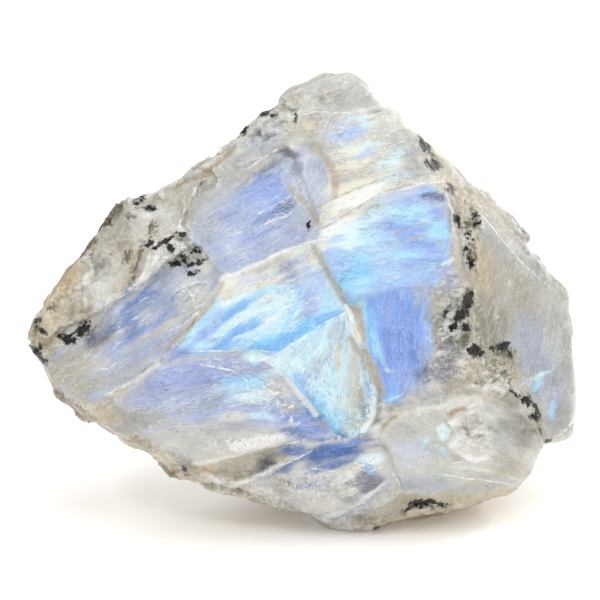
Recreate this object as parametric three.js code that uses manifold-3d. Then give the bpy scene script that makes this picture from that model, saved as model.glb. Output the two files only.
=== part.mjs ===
// A rough moonstone: one broken lump of feldspar with a stepped cleavage face in front,
// rough fracture round its rim and back, and a small flat spot underneath that it rests on.
//
// The stone is drawn face on and upright: x runs to the right, y into the stone and z up.
// Its front and back are depths over that outline, joined by a rough side wall. The whole is
// then leaned back, cut flat where it meets the ground and centred over its own base.
import * as THREE from "three";
import { ImprovedNoise } from "three/addons/math/ImprovedNoise.js";
import { mergeVertices } from "three/addons/utils/BufferGeometryUtils.js";
import Module from "manifold-3d";

// Driving dimensions. Lengths are in millimetres, and slopes are depth over distance.
const GRID = 1.2; // one step of the grid that the outline, corners and panels are drawn on
const LEAN = THREE.MathUtils.degToRad(20); // how far the face leans back from upright
const CROWN_DEPTH = 3.2; // from the drawing plane to the middle of the face
const THINNEST = 3.5; // the least distance from front to back

const RIM_STEP = 1.4; // greatest spacing of points round the outline
const EDGE_STEP = 1.15; // greatest spacing of points along a panel's edge
const EDGE_WIDTH = 0.36; // how wide a step between two panels is
const FRONT_STEP = 0.95; // spacing of points on the face
const BACK_STEP = 1.8; // spacing of points on the back
const WALL_ROWS = 5; // bands of faces between the front rim and the back rim
const FRONT_INSET = 0.55; // how far the front rim lies inside the outline
const BACK_INSET = 1.3; // how far the back rim lies inside the outline
const SMOOTH_REACH = 3; // how many points on each side are averaged to take the teeth off a rim
const WALL_WANDER = 11; // over what distance the wall's widest row wanders to and fro
const FOOT_SNAP = 0.2; // a point this near to the ground is put on it before the cut

// Broken rock is soft lumps and sharp hollow chips, of these heights and widths.
const FACE_ROCK = {
  lumps: [{ height: 0.9, width: 4.2 }],
  chips: [{ height: 1.6, width: 4.6 }, { height: 0.5, width: 2.3 }],
};
const BACK_ROCK = {
  lumps: [{ height: 0.9, width: 9.0 }, { height: 0.3, width: 3.6 }],
  chips: [{ height: 3.2, width: 10.5 }, { height: 1.3, width: 4.9 }],
};
const WALL_ROCK = { lumps: [], chips: [{ height: 1.1, width: 5.2 }] };
const WALL_CHIP = 0.5; // how deep the wall is cut on the whole, where it isn't widest
const SWELL = { lumps: [{ height: 0.12, width: 6.0 }], chips: [] }; // what a cleavage plane has

// The outline, on the grid, from the left tip over the top, down the right and back.
const OUTLINE = [
  [-28.2, 19.0], [-27.6, 21.2], [-26.2, 23.0], [-26.0, 23.8], [-24.4, 26.2], [-23.2, 27.0],
  [-19.7, 32.3], [-18.8, 33.1], [-18.0, 33.3], [-17.2, 33.1], [-16.7, 33.6], [-15.2, 34.0],
  [-14.2, 34.6], [-13.0, 35.0], [-11.8, 36.4], [-11.0, 36.7], [-9.6, 37.8], [-7.8, 38.8],
  [-7.3, 39.3], [-7.1, 39.9], [-5.3, 41.1], [-4.7, 41.8], [-4.0, 42.0], [-3.3, 42.5],
  [-3.0, 43.2], [-2.1, 44.0], [1.0, 45.6], [1.8, 45.7], [2.6, 45.5], [3.8, 45.8],
  [4.4, 45.7], [5.8, 44.6], [6.5, 43.1], [7.3, 42.3], [8.7, 42.0], [9.8, 40.2],
  [14.7, 36.2], [16.0, 34.6], [16.6, 34.2], [17.6, 34.0], [18.3, 33.3], [18.8, 32.4],
  [20.4, 31.6], [22.0, 29.4], [21.7, 28.7], [21.9, 27.9], [23.0, 27.3], [23.9, 25.7],
  [25.2, 25.0], [25.7, 24.3], [25.9, 23.3], [25.7, 22.3], [26.2, 20.0], [26.1, 17.5],
  [26.4, 16.4], [26.6, 13.5], [26.6, 12.3], [26.3, 11.0], [26.4, 9.8], [26.0, 9.2],
  [24.5, 8.7], [23.7, 8.7], [23.1, 8.4], [22.0, 5.6], [20.3, 3.7], [19.7, 3.4],
  [18.0, 3.2], [17.2, 2.6], [11.8, 1.2], [10.2, 1.2], [7.8, 0.7], [6.0, -0.1],
  [2.3, -0.1], [1.5, 0.2], [0.8, 0.9], [-0.9, 2.0], [-3.5, 2.2], [-6.0, 2.8],
  [-10.2, 4.4], [-12.0, 4.9], [-13.2, 5.0], [-14.0, 5.5], [-15.2, 7.0], [-16.0, 7.7],
  [-17.7, 8.4], [-22.0, 10.9], [-23.0, 11.2], [-24.0, 12.5], [-25.0, 13.0], [-25.6, 13.8],
  [-26.8, 17.0], [-27.9, 18.3],
];

// The stone's main broken sides, anticlockwise. Each runs from its own corner to the next
// one's, and has the depth of the front rim and of the back rim there, and how steeply the
// front rises and the back falls away from those rims.
const SIDES = [
  { name: "left tip", corner: [-28.0, 18.7], front: 10.0, rise: 2.0, back: 16.0, fall: 0.9 },
  { name: "lower left", corner: [-25.2, 13.1], front: 10.5, rise: 2.1, back: 17.5, fall: 1.1 },
  { name: "left underside", corner: [-13.2, 5.0], front: 12.5, rise: 1.6, back: 22.3, fall: 1.2 },
  { name: "left of foot", corner: [-6.0, 2.8], front: 13.5, rise: 1.7, back: 23.5, fall: 2.2 },
  { name: "foot", corner: [2.3, -0.1], front: 14.0, rise: 1.5, back: 28.0, fall: 0.6 },
  { name: "right of foot", corner: [6.2, -0.1], front: 14.5, rise: 1.2, back: 22.5, fall: 2.0 },
  { name: "lower right", corner: [20.0, 3.4], front: 14.5, rise: 1.2, back: 22.0, fall: 1.4 },
  { name: "right", corner: [26.5, 9.8], front: 16.5, rise: 0.95, back: 23.5, fall: 1.0 },
  { name: "right shoulder", corner: [25.9, 24.0], front: 15.0, rise: 2.4, back: 23.0, fall: 0.8 },
  { name: "upper right", corner: [17.6, 34.0], front: 12.5, rise: 2.6, back: 20.5, fall: 0.7 },
  { name: "peak", corner: [5.2, 45.2], front: 14.0, rise: 1.1, back: 19.0, fall: 0.6 },
  { name: "upper left", corner: [-0.5, 45.0], front: 13.5, rise: 1.2, back: 18.5, fall: 0.7 },
  { name: "left shoulder", corner: [-18.8, 33.1], front: 12.5, rise: 0.95, back: 18.5, fall: 0.8 },
];

// Flat planes of the face and of the back: the depth at a point on the grid, and how much
// deeper the plane gets per millimetre to the right and up.
const FACE_PLANES = [
  { at: [2.0, 24.0], depth: CROWN_DEPTH, right: -0.11, up: 0.02 },
  { at: [2.0, 24.0], depth: CROWN_DEPTH, right: 0.1, up: 0.0 },
  { at: [3.0, 36.5], depth: CROWN_DEPTH, right: -0.02, up: 0.4 },
  { at: [0.0, 11.0], depth: CROWN_DEPTH, right: -0.04, up: -0.42 },
  { at: [16.0, 14.5], depth: CROWN_DEPTH + 1.8, right: 0.16, up: -0.34 },
];
const BACK_PLANES = [
  { at: [2.0, 20.0], depth: 31.0, right: 0.05, up: -0.14 },
  { at: [-8.0, 18.0], depth: 28.5, right: 0.34, up: -0.1 },
  { at: [14.0, 20.0], depth: 30.5, right: -0.28, up: -0.18 },
  { at: [4.0, 34.0], depth: 25.5, right: 0.06, up: -0.5 },
];

// The panels of the face: cleavage steps, blocks and the broken masses round them. Each
// lies deeper than the face by its offset and tilts by so much per millimetre. Rough goes
// from 0, a clean cleavage plane, to 1, broken rock, which is also what lies outside them.
const PANELS = [
  {
    name: "middle ledge", offset: -0.05, right: 0.16, up: 0.02, rough: 0.2,
    edge: [
      [0.5, 28.8], [2.4, 24.2], [3.2, 22.3], [4.5, 19.2], [5.5, 15.5], [6.4, 11.5],
      [6.6, 10.8], [7.2, 13.1], [7.0, 15.4], [5.6, 19.2], [3.5, 22.9], [1.9, 26.0],
      [1.2, 29.8],
    ],
  },
  {
    name: "left ledge", offset: 0.42, right: -0.12, up: 0.02, rough: 0.2,
    edge: [
      [-8.8, 25.0], [-8.2, 24.6], [-10.5, 21.2], [-12.0, 19.5], [-13.8, 17.5], [-14.7, 16.8],
      [-15.2, 17.8], [-13.5, 19.5], [-11.5, 22.0], [-9.8, 24.0],
    ],
  },
  {
    name: "upper left slab", offset: 0.75, right: -0.02, up: 0.03, rough: 0.1,
    edge: [
      [-12.7, 30.5], [-11.0, 34.5], [-7.0, 36.2], [-2.0, 38.0], [-1.0, 35.8], [0.2, 32.5],
      [0.8, 30.8], [-1.0, 28.8], [-4.8, 27.0], [-8.8, 25.4], [-9.8, 26.8], [-11.5, 29.0],
    ],
  },
  {
    name: "upper middle wedge", offset: -0.3, right: 0.04, up: 0.0, rough: 0.25,
    edge: [
      [-2.0, 38.0], [0.8, 38.4], [1.8, 36.5], [2.7, 33.5], [0.8, 30.8], [0.2, 32.5],
      [-1.0, 35.8],
    ],
  },
  {
    name: "upper right bands", offset: 0.4, right: 0.02, up: 0.1, rough: 0.15,
    edge: [
      [0.8, 38.4], [2.0, 41.0], [7.0, 41.8], [10.2, 39.5], [13.0, 35.0], [9.0, 34.4],
      [5.2, 32.7], [0.8, 30.8], [2.7, 33.5], [1.8, 36.5],
    ],
  },
  {
    name: "right slab", offset: -0.35, right: 0.02, up: 0.02, rough: 0.05,
    edge: [
      [0.8, 30.8], [5.2, 32.7], [9.0, 34.4], [13.0, 35.0], [14.2, 31.5], [15.0, 27.0],
      [15.2, 24.2], [11.0, 24.0], [5.5, 23.0], [3.5, 23.0], [1.0, 27.4], [-1.0, 28.8],
    ],
  },
  {
    name: "right lower slab", offset: 0.35, right: -0.03, up: 0.03, rough: 0.05,
    edge: [
      [3.5, 23.0], [5.5, 23.0], [11.0, 24.0], [15.2, 24.2], [15.8, 20.0], [15.9, 18.0],
      [15.2, 14.5], [12.0, 13.2], [7.8, 11.8], [6.8, 14.5], [6.2, 18.0], [4.8, 20.5],
    ],
  },
  {
    name: "middle slab", offset: 0.1, right: -0.02, up: 0.0, rough: 0.05,
    edge: [
      [-8.8, 25.4], [-4.8, 27.0], [-1.0, 28.8], [1.0, 27.4], [3.5, 23.0], [3.3, 21.7],
      [0.0, 19.8], [-3.5, 18.0], [-10.0, 18.0], [-14.5, 17.8], [-12.0, 21.0], [-10.5, 23.0],
    ],
  },
  {
    name: "pale wedge", offset: -0.45, right: -0.04, up: -0.03, rough: 0.12,
    edge: [
      [3.3, 21.7], [3.5, 23.0], [4.8, 20.5], [6.2, 18.0], [6.8, 14.5], [7.8, 11.8],
      [5.5, 9.7], [2.5, 10.0], [0.0, 12.5], [-2.5, 15.2], [-6.0, 16.8], [-3.5, 18.0],
      [0.0, 19.8],
    ],
  },
  {
    name: "lower left slab", offset: 0.3, right: 0.02, up: 0.02, rough: 0.2,
    edge: [
      [-14.5, 17.8], [-10.0, 18.0], [-3.5, 18.0], [-6.0, 16.8], [-2.5, 15.2], [0.0, 12.5],
      [2.5, 10.0], [-1.0, 9.2], [-6.0, 7.5], [-10.0, 6.0], [-12.0, 6.5], [-16.0, 8.2],
      [-19.2, 9.5], [-20.7, 12.7], [-17.0, 15.0],
    ],
  },
  {
    name: "left upper step", offset: 1.1, right: 0.03, up: 0.04, rough: 0.25,
    edge: [
      [-20.7, 22.0], [-16.0, 25.0], [-14.0, 26.8], [-11.5, 29.0], [-9.8, 26.8], [-8.8, 25.4],
      [-12.4, 23.2], [-16.5, 19.8], [-21.5, 17.2], [-26.0, 17.2], [-26.5, 18.5],
      [-25.0, 20.0],
    ],
  },
  {
    name: "left lower step", offset: 0.75, right: 0.02, up: 0.04, rough: 0.15,
    edge: [
      [-26.0, 17.2], [-21.5, 17.2], [-16.5, 19.8], [-12.4, 23.2], [-8.8, 25.4],
      [-10.5, 23.0], [-12.0, 21.0], [-14.5, 17.8], [-17.0, 15.0], [-20.7, 12.7],
      [-25.0, 14.5],
    ],
  },
  {
    name: "left lump", offset: -0.3, right: 0.03, up: 0.0, rough: 1.0,
    edge: [
      [-29.0, 19.0], [-26.0, 26.0], [-20.5, 33.5], [-17.0, 35.0], [-13.5, 33.0],
      [-12.7, 30.5], [-11.5, 29.0], [-14.0, 26.8], [-16.0, 25.0], [-20.7, 22.0],
      [-25.0, 20.0], [-26.5, 18.5],
    ],
  },
  {
    name: "granular pocket", offset: 1.0, right: 0.0, up: 0.0, rough: 0.9,
    edge: [
      [15.9, 18.0], [18.0, 18.8], [20.0, 18.5], [21.0, 16.5], [21.0, 14.2], [18.0, 14.7],
      [15.2, 14.5],
    ],
  },
  {
    name: "right mass", offset: 1.3, right: -0.02, up: 0.0, rough: 0.55,
    edge: [
      [9.6, 41.5], [10.2, 39.5], [13.0, 35.0], [14.2, 31.5], [15.0, 27.0], [15.2, 24.2],
      [15.8, 20.0], [15.9, 18.0], [18.0, 18.8], [20.0, 18.5], [21.0, 16.5], [21.0, 14.2],
      [22.7, 11.8], [23.1, 8.4], [24.0, 7.0], [28.0, 8.0], [28.0, 26.0], [18.0, 36.0],
    ],
  },
  {
    name: "lower right block", offset: -0.75, right: 0.02, up: 0.02, rough: 0.55,
    edge: [
      [7.8, 11.8], [12.0, 13.2], [15.2, 14.5], [18.0, 14.7], [21.0, 14.2], [22.7, 11.8],
      [23.1, 8.4], [21.0, 5.2], [17.5, 5.0], [13.0, 4.2], [9.5, 3.8], [8.5, 6.0],
      [7.6, 8.6], [5.5, 9.7],
    ],
  },
  {
    name: "bottom block", offset: -0.35, right: 0.02, up: 0.0, rough: 0.3,
    edge: [
      [-1.0, 9.2], [2.5, 10.0], [5.5, 9.7], [7.6, 8.6], [8.5, 6.0], [7.5, 4.7], [4.0, 2.3],
      [1.0, 1.0], [-2.0, 2.5], [-4.8, 4.0], [-8.0, 4.8], [-4.8, 6.2], [-2.8, 7.2],
    ],
  },
  {
    name: "bottom notch", offset: 0.6, right: 0.0, up: 0.02, rough: 0.2,
    edge: [
      [-10.0, 6.0], [-6.0, 7.5], [-1.0, 9.2], [-2.8, 7.2], [-4.8, 6.2], [-8.0, 4.8],
    ],
  },
];

const { clamp, lerp } = THREE.MathUtils;
const noise = new ImprovedNoise();

// Smooth noise from -1 to 1 with waves of about this width. Each width has its own pattern.
const noiseAt = (p, width) => noise.noise(p.x / width, p.y / width, width);

const toMillimetres = (points) => points.map(([a, b]) => new THREE.Vector2(a * GRID, b * GRID));

const cross2 = (a, b) => a.x * b.y - a.y * b.x;

function insidePolygon(p, polygon) {
  let inside = false;
  polygon.forEach((a, i) => {
    const b = polygon[(i + 1) % polygon.length];
    const crosses = a.y > p.y !== b.y > p.y;
    if (crosses && p.x < ((b.x - a.x) * (p.y - a.y)) / (b.y - a.y) + a.x) inside = !inside;
  });
  return inside;
}

// The points of a closed line, with more between them so that none are further apart than this.
function divided(points, step) {
  return points.flatMap((from, i) => {
    const to = points[(i + 1) % points.length];
    const pieces = Math.ceil(from.distanceTo(to) / step);
    return Array.from({ length: pieces }, (_, k) => from.clone().lerp(to, k / pieces));
  });
}

// A repeatable random number from 0 to 1 for a whole-numbered place.
function hash(i, j, k) {
  const value = Math.sin(i * 127.1 + j * 311.7 + k * 74.7) * 43758.5453;
  return value - Math.floor(value);
}

// Hollow chips of about this width that meet in ridges, each with a slight tilt of its own.
// The height goes from -0.3 in the hollows to about 0.6 on the ridges.
function chipHeight(p, width) {
  const x = p.x / width;
  const y = p.y / width;
  let nearest = Infinity;
  let height = 0;
  for (let i = Math.floor(x) - 1; i <= Math.floor(x) + 1; i++) {
    for (let j = Math.floor(y) - 1; j <= Math.floor(y) + 1; j++) {
      const dx = x - i - hash(i, j, width);
      const dy = y - j - hash(i, j, width + 1);
      const distance = dx * dx + dy * dy;
      if (distance < nearest) {
        nearest = distance;
        const tiltX = 2 * hash(i, j, width + 2) - 1;
        const tiltY = 2 * hash(i, j, width + 3) - 1;
        height = distance - 0.3 + 0.25 * (dx * tiltX + dy * tiltY);
      }
    }
  }
  return height;
}

// How far such rock stands out of a plane at a point.
function rockHeight(p, rock) {
  const lumps = rock.lumps.map((lump) => lump.height * noiseAt(p, lump.width));
  const chips = rock.chips.map((chip) => chip.height * chipHeight(p, chip.width));
  return [...lumps, ...chips].reduce((sum, height) => sum + height, 0);
}

const outline = toMillimetres(OUTLINE).reverse(); // anticlockwise, seen from the front
const corners = toMillimetres(SIDES.map((side) => side.corner));
const panels = PANELS.map((panel) => {
  const edge = toMillimetres(panel.edge);
  const middle = edge.reduce((sum, p) => sum.add(p), new THREE.Vector2()).divideScalar(edge.length);
  return { ...panel, edge, middle };
});

// How far a point lies inside each main side, with that side's facts.
function sidesFrom(p) {
  return SIDES.map((side, i) => {
    const from = corners[i];
    const along = corners[(i + 1) % corners.length].clone().sub(from).normalize();
    return { ...side, inside: cross2(along, p.clone().sub(from)) };
  });
}

function planeDepth(plane, p) {
  return plane.depth + plane.right * (p.x - plane.at[0] * GRID) + plane.up * (p.y - plane.at[1] * GRID);
}

function frontDepth(p) {
  const bevels = sidesFrom(p).map((side) => side.front - side.rise * side.inside);
  const base = Math.max(...FACE_PLANES.map((plane) => planeDepth(plane, p)), ...bevels);
  const panel = panels.find((candidate) => insidePolygon(p, candidate.edge));
  const rough = panel ? panel.rough : 1;
  const step = panel
    ? panel.offset + panel.right * (p.x - panel.middle.x) + panel.up * (p.y - panel.middle.y)
    : 0;
  return base + step - rockHeight(p, SWELL) - rough * rockHeight(p, FACE_ROCK);
}

function backDepth(p) {
  const bevels = sidesFrom(p).map((side) => side.back + side.fall * side.inside);
  const base = Math.min(...BACK_PLANES.map((plane) => planeDepth(plane, p)), ...bevels);
  return Math.max(base + rockHeight(p, BACK_ROCK), frontDepth(p) + THINNEST);
}

// A ring of points this far inside the outline.
function insetRing(ring, inset) {
  return ring.map((p, i) => {
    const along = ring[(i + 1) % ring.length].clone().sub(ring[(i + ring.length - 1) % ring.length]);
    return p.clone().add(new THREE.Vector2(-along.y, along.x).setLength(inset));
  });
}

// The ring made smoother: the mean of each point and this many on each side.
function smoothedRing(ring, reach) {
  return ring.map((_, i) => {
    const sum = new THREE.Vector2();
    for (let k = -reach; k <= reach; k++) sum.add(ring[(i + k + ring.length) % ring.length]);
    return sum.divideScalar(2 * reach + 1);
  });
}

// Points on both sides of every panel edge, so that each step between panels is crisp.
function panelEdgePoints() {
  return panels.flatMap(({ edge }) => {
    const line = divided(edge, EDGE_STEP);
    return [...insetRing(line, EDGE_WIDTH / 2), ...insetRing(line, -EDGE_WIDTH / 2)];
  });
}

// A slightly uneven triangular grid of points over the outline's box.
function gridPoints(step) {
  const box = new THREE.Box2().setFromPoints(outline);
  const rowHeight = (step * Math.sqrt(3)) / 2;
  const made = [];
  for (let row = 0; box.min.y + row * rowHeight < box.max.y; row++) {
    for (let column = 0; box.min.x + column * step < box.max.x; column++) {
      const shift = 0.5 * (row % 2) + 0.3 * (hash(row, column, 1) - 0.5);
      const x = box.min.x + (column + shift) * step;
      const y = box.min.y + (row + 0.3 * (hash(row, column, 2) - 0.5)) * rowHeight;
      made.push(new THREE.Vector2(x, y));
    }
  }
  return made;
}

// The ring, then each candidate well inside it that keeps its distance from those before it.
function scattered(ring, groups) {
  const within = insetRing(ring, EDGE_WIDTH);
  const kept = [...ring];
  for (const { points, apart } of groups) {
    for (const p of points) {
      const clear = kept.every((q) => p.distanceToSquared(q) > apart * apart);
      if (clear && insidePolygon(p, within)) kept.push(p);
    }
  }
  return kept;
}

// The circle through three corners, as its centre and the square of its radius.
function circleThrough(points, [a, b, c]) {
  const pa = points[a];
  const ab = points[b].clone().sub(pa);
  const ac = points[c].clone().sub(pa);
  const d = 2 * cross2(ab, ac);
  const x = (ac.y * ab.lengthSq() - ab.y * ac.lengthSq()) / d;
  const y = (ab.x * ac.lengthSq() - ac.x * ab.lengthSq()) / d;
  return { x: pa.x + x, y: pa.y + y, r2: x * x + y * y };
}

// Delaunay triangles of the points inside the ring, which is the first ringCount of them.
function triangulated(points, ringCount) {
  const far = 1000;
  const all = [
    ...points,
    new THREE.Vector2(-far, -far),
    new THREE.Vector2(far, -far),
    new THREE.Vector2(0, far),
  ];
  const n = points.length;
  const start = [n, n + 1, n + 2];
  let triangles = [{ corners: start, circle: circleThrough(all, start) }];
  points.forEach((p, index) => {
    const kept = [];
    const rim = new Map();
    for (const triangle of triangles) {
      const { x, y, r2 } = triangle.circle;
      if ((p.x - x) ** 2 + (p.y - y) ** 2 >= r2) {
        kept.push(triangle);
        continue;
      }
      triangle.corners.forEach((a, i) => {
        const b = triangle.corners[(i + 1) % 3];
        const opposite = `${b},${a}`;
        if (rim.has(opposite)) rim.delete(opposite);
        else rim.set(`${a},${b}`, [a, b]);
      });
    }
    for (const [a, b] of rim.values()) {
      const made = [a, b, index];
      kept.push({ corners: made, circle: circleThrough(all, made) });
    }
    triangles = kept;
  });
  const ring = points.slice(0, ringCount);
  return triangles
    .map((triangle) => triangle.corners)
    .filter((c) => Math.max(...c) < n)
    .filter((c) => {
      const middle = new THREE.Vector2();
      c.forEach((i) => middle.add(points[i]));
      return insidePolygon(middle.divideScalar(3), ring);
    });
}

// The stone before it is leaned back and cut: front, side wall and back as one closed skin.
function stoneGeometry() {
  const rim = divided(outline, RIM_STEP);
  const count = rim.length;
  const smooth = smoothedRing(rim, SMOOTH_REACH);
  const frontRing = insetRing(smoothedRing(rim, 1), FRONT_INSET);
  const backRing = insetRing(smooth, BACK_INSET);
  const front = scattered(frontRing, [
    { points: panelEdgePoints(), apart: EDGE_WIDTH * 0.8 },
    { points: gridPoints(FRONT_STEP), apart: FRONT_STEP * 0.62 },
  ]);
  const back = scattered(backRing, [{ points: gridPoints(BACK_STEP), apart: BACK_STEP * 0.6 }]);

  const positions = [];
  const faces = [];
  const addPoint = (p, depth) => positions.push(p.x, depth, p.y) / 3 - 1;
  const frontIndex = front.map((p) => addPoint(p, frontDepth(p)));
  const backIndex = back.map((p) => addPoint(p, backDepth(p)));
  for (const [a, b, c] of triangulated(front, count)) {
    faces.push(frontIndex[a], frontIndex[b], frontIndex[c]);
  }
  for (const [a, b, c] of triangulated(back, count)) {
    faces.push(backIndex[a], backIndex[c], backIndex[b]);
  }

  // The wall reaches the outline's every tooth in the row where it is widest, which wanders
  // round the stone. Its other rows follow a smoother outline, chipped into facets.
  const rows = [frontIndex.slice(0, count)];
  for (let row = 1; row < WALL_ROWS; row++) {
    const share = row / WALL_ROWS;
    rows.push(
      rim.map((p, i) => {
        const wander = noiseAt(p, WALL_WANDER);
        const widest = clamp(WALL_ROWS * (0.4 + 0.5 * wander), 1, WALL_ROWS - 2);
        const nearWidest = clamp(1.5 - Math.abs(row - widest), 0, 1);
        const depth = lerp(frontDepth(frontRing[i]), backDepth(backRing[i]), share);
        const onWall = new THREE.Vector2(i * RIM_STEP, depth);
        const chipped = Math.max(0, WALL_CHIP - rockHeight(onWall, WALL_ROCK));
        const turnedIn = row > widest ? BACK_INSET * share : 0;
        const inward = backRing[i].clone().sub(p).setLength((1 - nearWidest) * (chipped + turnedIn));
        return addPoint(smooth[i].clone().lerp(p, nearWidest).add(inward), depth);
      }),
    );
  }
  rows.push(backIndex.slice(0, count));
  for (let row = 0; row < WALL_ROWS; row++) {
    for (let i = 0; i < count; i++) {
      const j = (i + 1) % count;
      const [near, far] = [rows[row], rows[row + 1]];
      faces.push(near[i], far[i], near[j], near[j], far[i], far[j]);
    }
  }
  return new THREE.BufferGeometry()
    .setAttribute("position", new THREE.Float32BufferAttribute(positions, 3))
    .setIndex(faces);
}

// Puts points that lie very close to the ground onto it, so that the cut leaves no slivers.
function snapToGround(geometry, ground) {
  const position = geometry.getAttribute("position");
  for (let i = 0; i < position.count; i++) {
    if (Math.abs(position.getZ(i) - ground) < FOOT_SNAP) position.setZ(i, ground);
  }
}

const wasm = await Module();
wasm.setup();

function toSolid(geometry) {
  const bare = new THREE.BufferGeometry()
    .setAttribute("position", geometry.getAttribute("position"))
    .setIndex(geometry.index);
  const merged = mergeVertices(bare, 1e-4);
  return new wasm.Manifold(
    new wasm.Mesh({
      numProp: 3,
      vertProperties: new Float32Array(merged.getAttribute("position").array),
      triVerts: new Uint32Array(merged.index.array),
    }),
  );
}

function toGeometry(solid) {
  const mesh = solid.getMesh();
  return new THREE.BufferGeometry()
    .setAttribute("position", new THREE.BufferAttribute(mesh.vertProperties, 3))
    .setIndex(new THREE.BufferAttribute(mesh.triVerts, 1));
}

function restingStone() {
  const geometry = stoneGeometry().rotateX(-LEAN);
  const foot = SIDES.find((side) => side.name === "foot");
  const ground = foot.corner[1] * GRID * Math.cos(LEAN) - foot.front * Math.sin(LEAN);
  snapToGround(geometry, ground);
  const slab = 200;
  const below = new THREE.BoxGeometry(slab, slab, slab).translate(0, 0, ground - slab / 2);
  const cut = toGeometry(toSolid(geometry).subtract(toSolid(below)));
  cut.computeBoundingBox();
  const middle = cut.boundingBox.getCenter(new THREE.Vector3());
  return cut.translate(-middle.x, -middle.y, -ground);
}

const moonstone = new THREE.Mesh(
  restingStone(),
  new THREE.MeshStandardMaterial({ color: 0xc9cfdc, roughness: 0.35, metalness: 0 }),
);
moonstone.name = "moonstone";

const part = new THREE.Group();
part.add(moonstone);
export default part;
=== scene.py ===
"""The rough moonstone: a fine broken surface, its blue flash and its black grains, on a white table.

Places on the stone's face are given as (right, down) in pixels of the 600 by 600 photograph, as
its camera sees them. One such pixel is PIXEL metres of stone.
"""

import math

import bpy
import numpy as np
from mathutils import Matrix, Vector, noise


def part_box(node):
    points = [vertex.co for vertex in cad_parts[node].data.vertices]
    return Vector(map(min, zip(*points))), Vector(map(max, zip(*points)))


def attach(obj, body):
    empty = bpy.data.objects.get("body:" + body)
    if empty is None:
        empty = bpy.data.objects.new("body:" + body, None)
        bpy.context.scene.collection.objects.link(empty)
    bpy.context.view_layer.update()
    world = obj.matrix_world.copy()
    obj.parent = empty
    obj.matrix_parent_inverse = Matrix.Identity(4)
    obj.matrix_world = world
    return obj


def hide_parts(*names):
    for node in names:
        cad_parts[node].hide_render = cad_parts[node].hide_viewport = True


# Driving dimensions, in metres unless they say otherwise
PIXEL = 0.00012  # how much of the stone one photograph pixel shows
LEFT_PX = 28  # the stone's left tip in the photograph
TOP_PX = 72  # and its top
MIDDLE_PX = 300  # the photograph's middle, both ways
PHOTO_PX = 600
ELEVATION = math.radians(20)  # how far the camera looks down
CAMERA_DISTANCE = 1.5
CLIP_END = 20
SENSOR_MM = 36
FLOOR_SIZE = 6
MM = 0.001
FAR = 9.0  # pixels or half widths: further than this counts as nowhere near a line or a grain

VIEW_UP = np.array([0, math.sin(ELEVATION), math.cos(ELEVATION)])
TOWARDS_CAMERA = np.array([0, -math.cos(ELEVATION), math.sin(ELEVATION)])

# The fine surface. Rounds are how often each point is moved towards the mean of its neighbours.
CUTS = 2  # how often every CAD triangle is cut into four
WELD_STEPS = 1e7  # to a metre: points that round to the same steps are one
FOOT_TOP = 0.02 * MM  # what lies lower is the flat foot, which isn't softened
FOOT_FADE = 0.8 * MM  # the relief grows in over this height above the table
EASING_ROUNDS = 24  # where the CAD stone's small steps are eased
NEARBY_ROUNDS = 6  # for the surface round each point
SHARP_ANGLE = math.radians(32)  # edges sharper than this aren't shaded smooth
CHIPS = [(4.6, 1.9), (1.9, 0.8)]  # millimetres: how wide, and how high
CHIP_BEND = 0.5 * MM  # how far the chips' edges wander
WAVE_HEIGHT = 0.12  # millimetres, of the low waves along the cleavage

# How squarely the surface faces the camera where the painted front begins, and where it is full
FRONT_FACING = (-0.6, -0.35)
ROCK_ANGLE = 25  # degrees: the direction of the streaks outside the zones
FAN_SPREAD = 1.6  # how many pixels across the streaks a degree round a fan's apex counts as
ZONE_SPACING = 7.3  # so far apart in the noise that no two zones have the same streaks
TONES = ("deep", "middle", "light")

# The stone's material
FACET_BEND = 0.0008  # metres: how far the facets' edges wander
STEP_HEIGHT = 0.00005  # metres, of the smallest cleavage steps
THREAD_HEIGHT = 0.00004  # metres, of the fibres
MOST_BLACK = 0.97  # the black grains' strength where they are fullest
STONE_SHADER = {
    "IOR": 1.52,
    "Specular IOR Level": 0.36,
    "Subsurface Radius": (1.0, 0.97, 0.93),
    "Subsurface Scale": 0.0006,
    "Coat Roughness": 0.2,
}

# The studio
FLOOR_SHADER = {
    "Base Color": (0.96, 0.955, 0.95, 1),
    "Roughness": 0.9,
    "Specular IOR Level": 0.1,
    "Emission Color": (1, 0.91, 0.8, 1),
    "Emission Strength": 0.135,
}
STUDIO_TONE = (0.98, 0.97, 0.95)
STUDIO_STRENGTH = 0.47
LIT_POINT = (0, 0, 0.025)  # what the lamps point at
# The lamps, which are round: (name, place, size, power, colour)
LAMPS = [
    ("overhead", (0.12, -0.12, 0.58), 0.7, 2.4, (0.97, 0.99, 1)),
    ("backdrop", (0.3, 0.52, 0.14), 0.28, 4.0, (1, 1, 1)),
    ("front", (0.1, -0.7, 0.35), 0.6, 0.15, (1, 1, 1)),
    ("key", (-0.3, -0.3, 0.55), 0.13, 0.75, (1, 1, 1)),
]

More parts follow.
